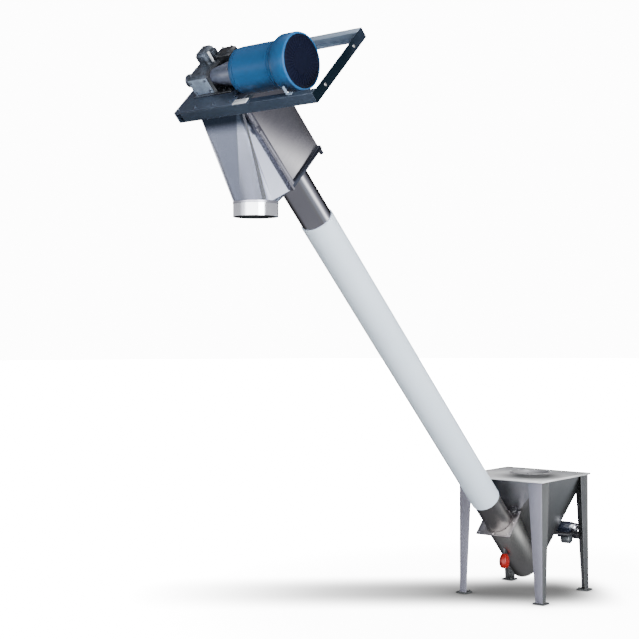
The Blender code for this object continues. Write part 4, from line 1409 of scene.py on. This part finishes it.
    def bolts(self) -> None:
        """Bolts along both sides of the flange pair and under the bottom plate."""
        lip = self.half + self.flange_out / 2
        seats = [(Vector((side * lip, self.below + 0.0192, self.start + 0.035 + place * 0.070)),
                  Vector((0.0, 1.0, 0.0))) for side in SIDES for place in range(7)]
        self.shop.bolts("housing_flange_bolts", seats, 0.0036, JOINT_STEEL)
        seats = [(Vector((side * (self.half - 0.010), y, self.start)), DOWN) for side in SIDES
                 for y in (-0.100, -0.020, 0.060, 0.125)]
        self.shop.bolts("bottom_plate_bolts", seats, 0.005, ZINC)


@dataclass
class DriveFrame(Assembly):
    """Channel rails and the plate that carries the reducer."""

    right: float = 0.602
    front: float = -0.221
    rear: float = 0.240
    bottom: float = 3.497
    top: float = 3.547
    plate_top: float = 3.553
    shim_span: Span = (0.150, 0.228)
    bracket_at: float = 0.452

    def build(self) -> None:
        """Make the frame's pieces."""
        self.shop.refine(SLATE_PAINT, 0.0012, "front_rail", "left_rail")
        self.shop.refine(PLATE_SLATE, 0.0012, "frame_plate")
        self.shop.refine(LIT_SLATE, 0.0012, "rear_rail")
        bar = ((self.right - 0.006, self.front, self.bottom), (self.right - 0.0035, self.rear, self.top))
        self.shop.add("end_bar", blocks([bar]), SHADED_SLATE, replaced=("end_rail",), bevel=0.0009)
        seats = [(Vector((x, y, self.plate_top)), UP) for x in (-0.185, -0.080, 0.025, 0.128)
                 for y in (self.front + 0.020, self.rear - 0.020)]
        self.shop.bolts("plate_bolts", seats, 0.0050, SLATE_PAINT)
        head = [(0.0080, self.right - 0.0034), (0.0076, self.right - 0.0014), (0.0050, self.right)]
        heads = [lathe(head, 24, "X", (0.0, y, (self.top + self.bottom) / 2)) for y in (-0.130, 0.138)]
        self.shop.add("end_bar_rivets", merge(heads), ZINC)
        self.fittings()

    def fittings(self) -> None:
        """Bright shim and small angle bracket on the front rail's top, the bracket in a painted-light copy of the frame
        paint.
        """
        seat = self.top + HAIR
        shim = ((self.shim_span[0], self.front + 0.002, seat), (self.shim_span[1], self.front + 0.033,
                                                                self.top + 0.0055))
        self.shop.add("rail_shim", blocks([shim]), SHIM_AND_HIGHLIGHT, bevel=0.0012)
        corner = (self.bracket_at, self.front + 0.010, seat)
        foot = (corner, (self.bracket_at + 0.026, self.front + 0.028, self.top + 0.0040))
        stem = (corner, (self.bracket_at + 0.006, self.front + 0.022, self.top + 0.042))
        self.shop.add("rail_bracket", blocks([foot, stem]), LIT_SLATE, bevel=0.0010)


@dataclass
class GearDrive(Assembly):
    """Worm reducer, adapter, motor and fan cover."""

    motor_y: float = -0.0735
    motor_z: float = 3.6155
    motor_radius: float = 0.103
    motor_start: float = 0.143
    cover_start: float = 0.405
    cover_end: float = 0.497
    cover_radius: float = 0.123
    case_base: float = 3.5533
    case_top: float = 3.652
    raised: float = 0.024

    def build(self) -> None:
        """Make the drive's pieces."""
        self.shop.refine(CAST_GREY, 0.0020, "gear_case")
        self.shop.refine(CAST_GREY, 0.0015, "worm_cap")
        self.shop.refine(LIGHT_CAST, 0.0010, "motor_adapter")
        self.motor()
        self.cover()
        self.case_trim()
        self.case_bolts()

    def turned(self, name: str, profile: list[Span], finish: Finish, node: str = "", hollow: bool = False) -> None:
        """A piece turned on the motor's axis.

        Args:
            name: Name of the piece.
            profile: Its profile.
            finish: Its finish.
            node: The CAD node it stands for, if any.
            hollow: Whether the profile is a closed loop.
        """
        shape = lathe(profile, 96, "X", (0.0, self.motor_y, self.motor_z), hollow)
        self.shop.add(name, shape, finish, replaced=(node,) if node else ())

    def motor(self) -> None:
        """Rolled motor shell with its drive-end bell and band."""
        r, s, e = self.motor_radius, self.motor_start, self.cover_start
        profile = [(0.056, s), (0.070, s + 0.003), (0.086, s + 0.010), (0.094, s + 0.018), (r - 0.002, s + 0.028),
                   (r - 0.001, s + 0.046), (r - 0.003, s + 0.047), (r - 0.003, s + 0.049), (r, s + 0.050),
                   (r, e - 0.022), (r - 0.003, e - 0.021), (r - 0.003, e - 0.018), (r, e - 0.017), (r, e - HAIR)]
        self.turned("motor_shell", profile, BLUE_ENAMEL, "motor_body")
        seats = [(Vector((s + 0.006, self.motor_y + y, self.motor_z + z)), Vector((-1.0, 0.0, 0.0)))
                 for y, z in ring(4, 0.078)]
        self.shop.bolts("motor_face_bolts", seats, 0.005, ZINC)

    def cover(self) -> None:
        """Fan cover: blue side, and an end painted dark as shade, with a ring of vents."""
        r, s, e = self.cover_radius, self.cover_start, self.cover_end
        side = [(self.motor_radius + 0.004, s), (r - 0.006, s + 0.012), (r, s + 0.024), (r, e - 0.010),
                (r - 0.002, e - 0.004), (r - 0.007, e - 0.001), (r - 0.010, e - 0.0012), (r - 0.010, e - 0.006),
                (r - 0.006, e - 0.012), (r - 0.006, s + 0.026), (self.motor_radius, s + 0.010)]
        self.turned("cover_side", side, BLUE_ENAMEL, "motor_fan_cover", True)
        face = [(r - 0.0105, e - 0.006), (r - 0.0105, e - 0.003), (r - 0.020, e - 0.0015), (r - 0.021, e - 0.004),
                (0.056, e - 0.004), (0.055, e - 0.001), (0.020, e), (0.006, e)]
        self.turned("cover_face", face, SHADED_COVER_ENAMEL)
        spin = Matrix.Translation((e - 0.004, self.motor_y, self.motor_z)) @ Matrix.Rotation(math.pi / 2, 4, "Y")
        values = {"Count": 36, "Inner Radius": 0.054, "Outer Radius": 0.103, "Bar Width": 0.0042, "Bar Depth": 0.003}
        self.shop.grow("cover_vents", bpy.data.meshes.new("vent_seed"), self.shop.trees.vents, values, SHADED_VENT_ENAMEL,
                       LAYOUT.matrix(Frame.LINE) @ spin)

    def case_trim(self) -> None:
        """Cover on the case's front in a painted-light copy of the cast grey, and the lid, pad, rib and breather of its
        raised rear, the rib near-white as a painted highlight.
        """
        top = self.case_top
        trim = [("case_cover", LIT_CAST, 0.0016, (-0.124, -0.1222, 3.566), (-0.014, -0.1180, 3.641)),
                ("case_lid", CAST_GREY, 0.0008, (-0.096, -0.022, top + 0.0543), (-0.052, 0.044, top + 0.057)),
                ("case_side_pad", CAST_GREY, 0.0012, (-0.0437, -0.022, top + 0.003), (-0.0405, 0.044, top + 0.047)),
                # The rib is near-white as a painted highlight on the case.
                ("case_highlight_rib", SHIM_AND_HIGHLIGHT, 0.0012, (-0.0402, -0.010, top + HAIR), (-0.034, 0.002, top + 0.050)),
                ("case_breather", CAST_GREY, 0.0030, (-0.0360, 0.006, top + HAIR), (-0.0200, 0.036, top + 0.044))]
        for name, finish, bevel, low, high in trim:
            self.shop.add(name, blocks([(low, high)]), finish, bevel=bevel)

    def case_bolts(self) -> None:
        """Screws on the case's tops, its front cover and its foot."""
        front = Vector((0.0, -1.0, 0.0))
        seats = [(Vector((x, y, self.case_top)), UP) for x in (-0.112, -0.026) for y in (-0.098, -0.050)]
        seats += [(Vector((x, y, self.case_top + self.raised)), UP) for x in (0.0, 0.052) for y in (0.014, 0.052)]
        self.shop.bolts("case_bolts", seats, 0.0042, CAST_GREY)
        faces = [(Vector((x, -0.1225, z)), front) for x in (-0.112, -0.026) for z in (3.577, 3.629)]
        self.shop.bolts("cover_bolts", faces, 0.0042, CAST_GREY)
        feet = [(Vector((x, -0.110, self.case_base + 0.009)), UP) for x in (0.074, 0.040)]
        self.shop.bolts("foot_bolts", feet, 0.0050, CAST_GREY)


@dataclass(frozen=True)
class SoftBox:
    """A large soft light."""

    name: str
    place: Triple
    target: Triple
    size: float
    power: float
    colour: Triple
    mirrored: bool = True

    def build(self) -> None:
        """Hang the light."""
        data = bpy.data.lights.new(self.name, "AREA")
        data.size = self.size
        data.energy = self.power
        data.color = self.colour
        lamp = bpy.data.objects.new(self.name, data)
        lamp.location = self.place
        lamp.rotation_euler = (Vector(self.target) - Vector(self.place)).to_track_quat("-Z", "Y").to_euler()
        lamp.visible_glossy = self.mirrored
        bpy.context.scene.collection.objects.link(lamp)


@dataclass
class Studio:
    """Pale floor, soft light and the camera."""

    backdrop: float = 13.0
    contact: float = 2.6
    pool: float = 3.4
    mirror_gain: float = 4.2
    window_gain: float = 7.0
    soft_gain: float = 0.52
    pool_along: Triple = (-0.637, 0.771, 0.0)
    pool_across: Triple = (0.771, 0.637, 0.0)
    pool_middle: float = 0.3625
    behind_way: Triple = (0.80, 0.60, 0.0)
    ahead_way: Triple = (-0.93, -0.40, 0.10)
    band_height: float = 0.04
    lens: float = 72.48
    eye: Triple = (-6.6629, -3.9352, 1.5599)
    forward: Triple = (0.7708474, 0.6369782, 0.0072767)
    rightward: Triple = (0.6370103, -0.7708480, -0.0033503)
    boxes: tuple[SoftBox, ...] = (
        SoftBox("key", (-4.4, -6.7, 2.7), (-0.8, 0.2, 1.3), 4.0, 960.0, (0.98, 1.0, 1.01)),
        SoftBox("side", (1.8, -7.0, 2.2), (-0.6, 0.2, 1.2), 3.0, 160.0, (1.0, 0.99, 0.97), False),
        SoftBox("top", (-1.0, 0.0, 7.0), (-1.0, 0.0, 0.0), 4.0, 110.0, (1.0, 1.0, 1.0)))
    mirror_stops: tuple[tuple[float, Triple], ...] = (
        (-1.0, (0.080, 0.080, 0.088)), (-0.70, (0.074, 0.074, 0.083)), (-0.50, (0.080, 0.080, 0.082)),
        (-0.42, (0.105, 0.110, 0.125)), (-0.24, (0.130, 0.137, 0.158)), (-0.10, (0.70, 0.71, 0.73)),
        (-0.03, (1.0, 1.0, 1.0)), (0.03, (0.50, 0.50, 0.51)), (0.08, (0.26, 0.26, 0.28)),
        (0.14, (0.10, 0.10, 0.115)), (0.40, (0.07, 0.072, 0.085)), (1.0, (0.16, 0.16, 0.17)))

    def build(self) -> None:
        """Make the floor, the lights, the world and the camera."""
        self.floor()
        for box in self.boxes:
            box.build()
        self.world()
        self.camera()

    def camera(self) -> None:
        """Camera at the photo's angle."""
        data = bpy.data.cameras.new("camera")
        data.lens = self.lens
        data.sensor_width = 36.0
        data.clip_end = 200.0
        look = Vector(self.forward).normalized()
        right = Vector(self.rightward).normalized()
        view = Matrix((right, right.cross(look).normalized(), -look)).transposed().to_4x4()
        camera = bpy.data.objects.new("camera", data)
        shift = Vector((LAYOUT.centre, LAYOUT.centre, 0.0))
        camera.matrix_world = Matrix.Translation(Vector(self.eye) + shift) @ view
        bpy.context.scene.collection.objects.link(camera)
        bpy.context.scene.camera = camera

    def floor(self) -> None:
        """Round pale floor that fades into the backdrop."""
        drawn = bmesh.new()
        bmesh.ops.create_circle(drawn, cap_ends=True, segments=96, radius=60.0)
        mesh = bpy.data.meshes.new("floor")
        drawn.to_mesh(mesh)
        drawn.free()
        floor = bpy.data.objects.new("floor", mesh)
        floor.location = (0.0, 0.0, -0.0005)
        bpy.context.scene.collection.objects.link(floor)
        material = bpy.data.materials.new("floor")
        material.use_nodes = True
        graph = Graph(material.node_tree)
        matt = graph.add("ShaderNodeBsdfDiffuse", {"Color": (0.86, 0.86, 0.86, 1.0)})
        glow = graph.add("ShaderNodeEmission", {"Color": (1.0, 1.0, 1.0, 1.0), "Strength": self.floor_level(graph)})
        path = graph.add("ShaderNodeLightPath")
        mixed = graph.add("ShaderNodeMixShader", {0: path.outputs["Is Camera Ray"], 1: matt.outputs[0],
                                                  2: glow.outputs[0]})
        graph.add("ShaderNodeOutputMaterial", {"Surface": mixed.outputs[0]})
        mesh.materials.append(material)
        floor.visible_glossy = False

    def floor_level(self, graph: Graph) -> bpy.types.NodeSocket:
        """How bright the floor is: darker near what stands on it and in the soft pool of shadow beside it.

        Args:
            graph: Graph of the floor's material.

        Returns:
            The level's socket.
        """
        where = graph.add("ShaderNodeTexCoord").outputs["Object"]
        far = graph.remap(graph.vector("LENGTH", where), (1.2, 4.0), smooth=True)
        open_sky = graph.add("ShaderNodeAmbientOcclusion", {"Distance": 0.35}, samples=32).outputs["AO"]
        level = graph.times(graph.math("POWER", open_sky, self.contact), self.backdrop)
        along = graph.vector("DOT_PRODUCT", where, Vector(self.pool_along))
        across = graph.vector("DOT_PRODUCT", where, Vector(self.pool_across))
        apart = graph.math("ABSOLUTE", graph.math("SUBTRACT", across, self.pool_middle))
        pool = graph.times(graph.remap(apart, (0.05, 0.54), (self.pool, 0.0), smooth=True),
                           graph.remap(along, (-0.55, -0.15), smooth=True),
                           graph.remap(along, (0.30, 2.45), (1.0, 0.0)))
        level = graph.times(level, graph.math("POWER", 2.718, graph.times(pool, -1.0)))
        return graph.math("ADD", level, graph.times(far, self.backdrop))

    def world(self) -> None:
        """White backdrop, and soft light with darker stretches for the metal to mirror."""
        world = bpy.data.worlds.new("studio")
        bpy.context.scene.world = world
        world.use_nodes = True
        graph = Graph(world.node_tree)
        way = graph.add("ShaderNodeTexCoord").outputs["Generated"]
        height = graph.add("ShaderNodeSeparateXYZ", {0: way}).outputs["Z"]
        ramp = graph.add("ShaderNodeValToRGB", {0: graph.remap(height, (-1.0, 1.0))})
        points = ramp.color_ramp.elements
        while len(points) < len(self.mirror_stops):
            points.new(0.5)
        for point, (place, colour) in zip(points, self.mirror_stops):
            point.position = (place + 1.0) / 2.0
            point.color = (*colour, 1.0)
        behind = graph.vector("DOT_PRODUCT", way, Vector(self.behind_way).normalized())
        off_band = graph.math("ABSOLUTE", graph.math("SUBTRACT", height, self.band_height))
        shade = graph.times(graph.remap(behind, (0.30, 0.75), (0.0, 0.94), smooth=True),
                            graph.remap(off_band, (0.08, 0.16), smooth=True))
        ahead = graph.vector("DOT_PRODUCT", way, Vector(self.ahead_way).normalized())
        level = graph.times(graph.math("SUBTRACT", 1.0, shade), self.mirror_gain,
                            graph.remap(ahead, (0.35, 0.75), (0.8, 2.4), smooth=True))
        window = graph.times(graph.remap(ahead, (0.74, 0.92), (0.0, self.window_gain), smooth=True),
                             graph.remap(height, (-0.50, -0.34), smooth=True),
                             graph.remap(height, (0.24, 0.40), (1.0, 0.0), smooth=True))
        tinted = graph.add("ShaderNodeVectorMath", {0: ramp.outputs["Color"], 3: level}, operation="SCALE").outputs[0]
        lit = graph.add("ShaderNodeVectorMath", {0: tinted, 1: window}, operation="ADD").outputs[0]
        path = graph.add("ShaderNodeLightPath").outputs
        soft = {"Color": (0.97, 0.98, 1.0, 1.0), "Strength": self.soft_gain}
        shown = graph.add("ShaderNodeBackground", soft).outputs[0]
        layers = {"Is Glossy Ray": {"Color": lit, "Strength": 1.0},
                  "Is Camera Ray": {"Color": (1.0, 1.0, 1.0, 1.0), "Strength": self.backdrop}}
        for ray, values in layers.items():
            layer = graph.add("ShaderNodeBackground", values).outputs[0]
            shown = graph.add("ShaderNodeMixShader", {0: path[ray], 1: shown, 2: layer}).outputs[0]
        graph.add("ShaderNodeOutputWorld", {"Surface": shown})


def main() -> None:
    """Load the frame, dress every sub-assembly and set the studio."""
    logging.basicConfig(level=logging.INFO, format="%(name)s %(message)s", stream=sys.stdout)
    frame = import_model()
    shop = Shop(frame["nodes"])
    for assembly in (HopperStand, HopperBody, Vibrator, ConveyingLine, DischargeHousing, DriveFrame, GearDrive):
        assembly(shop).build()
    Studio().build()


if __name__ == "__main__":
    main()
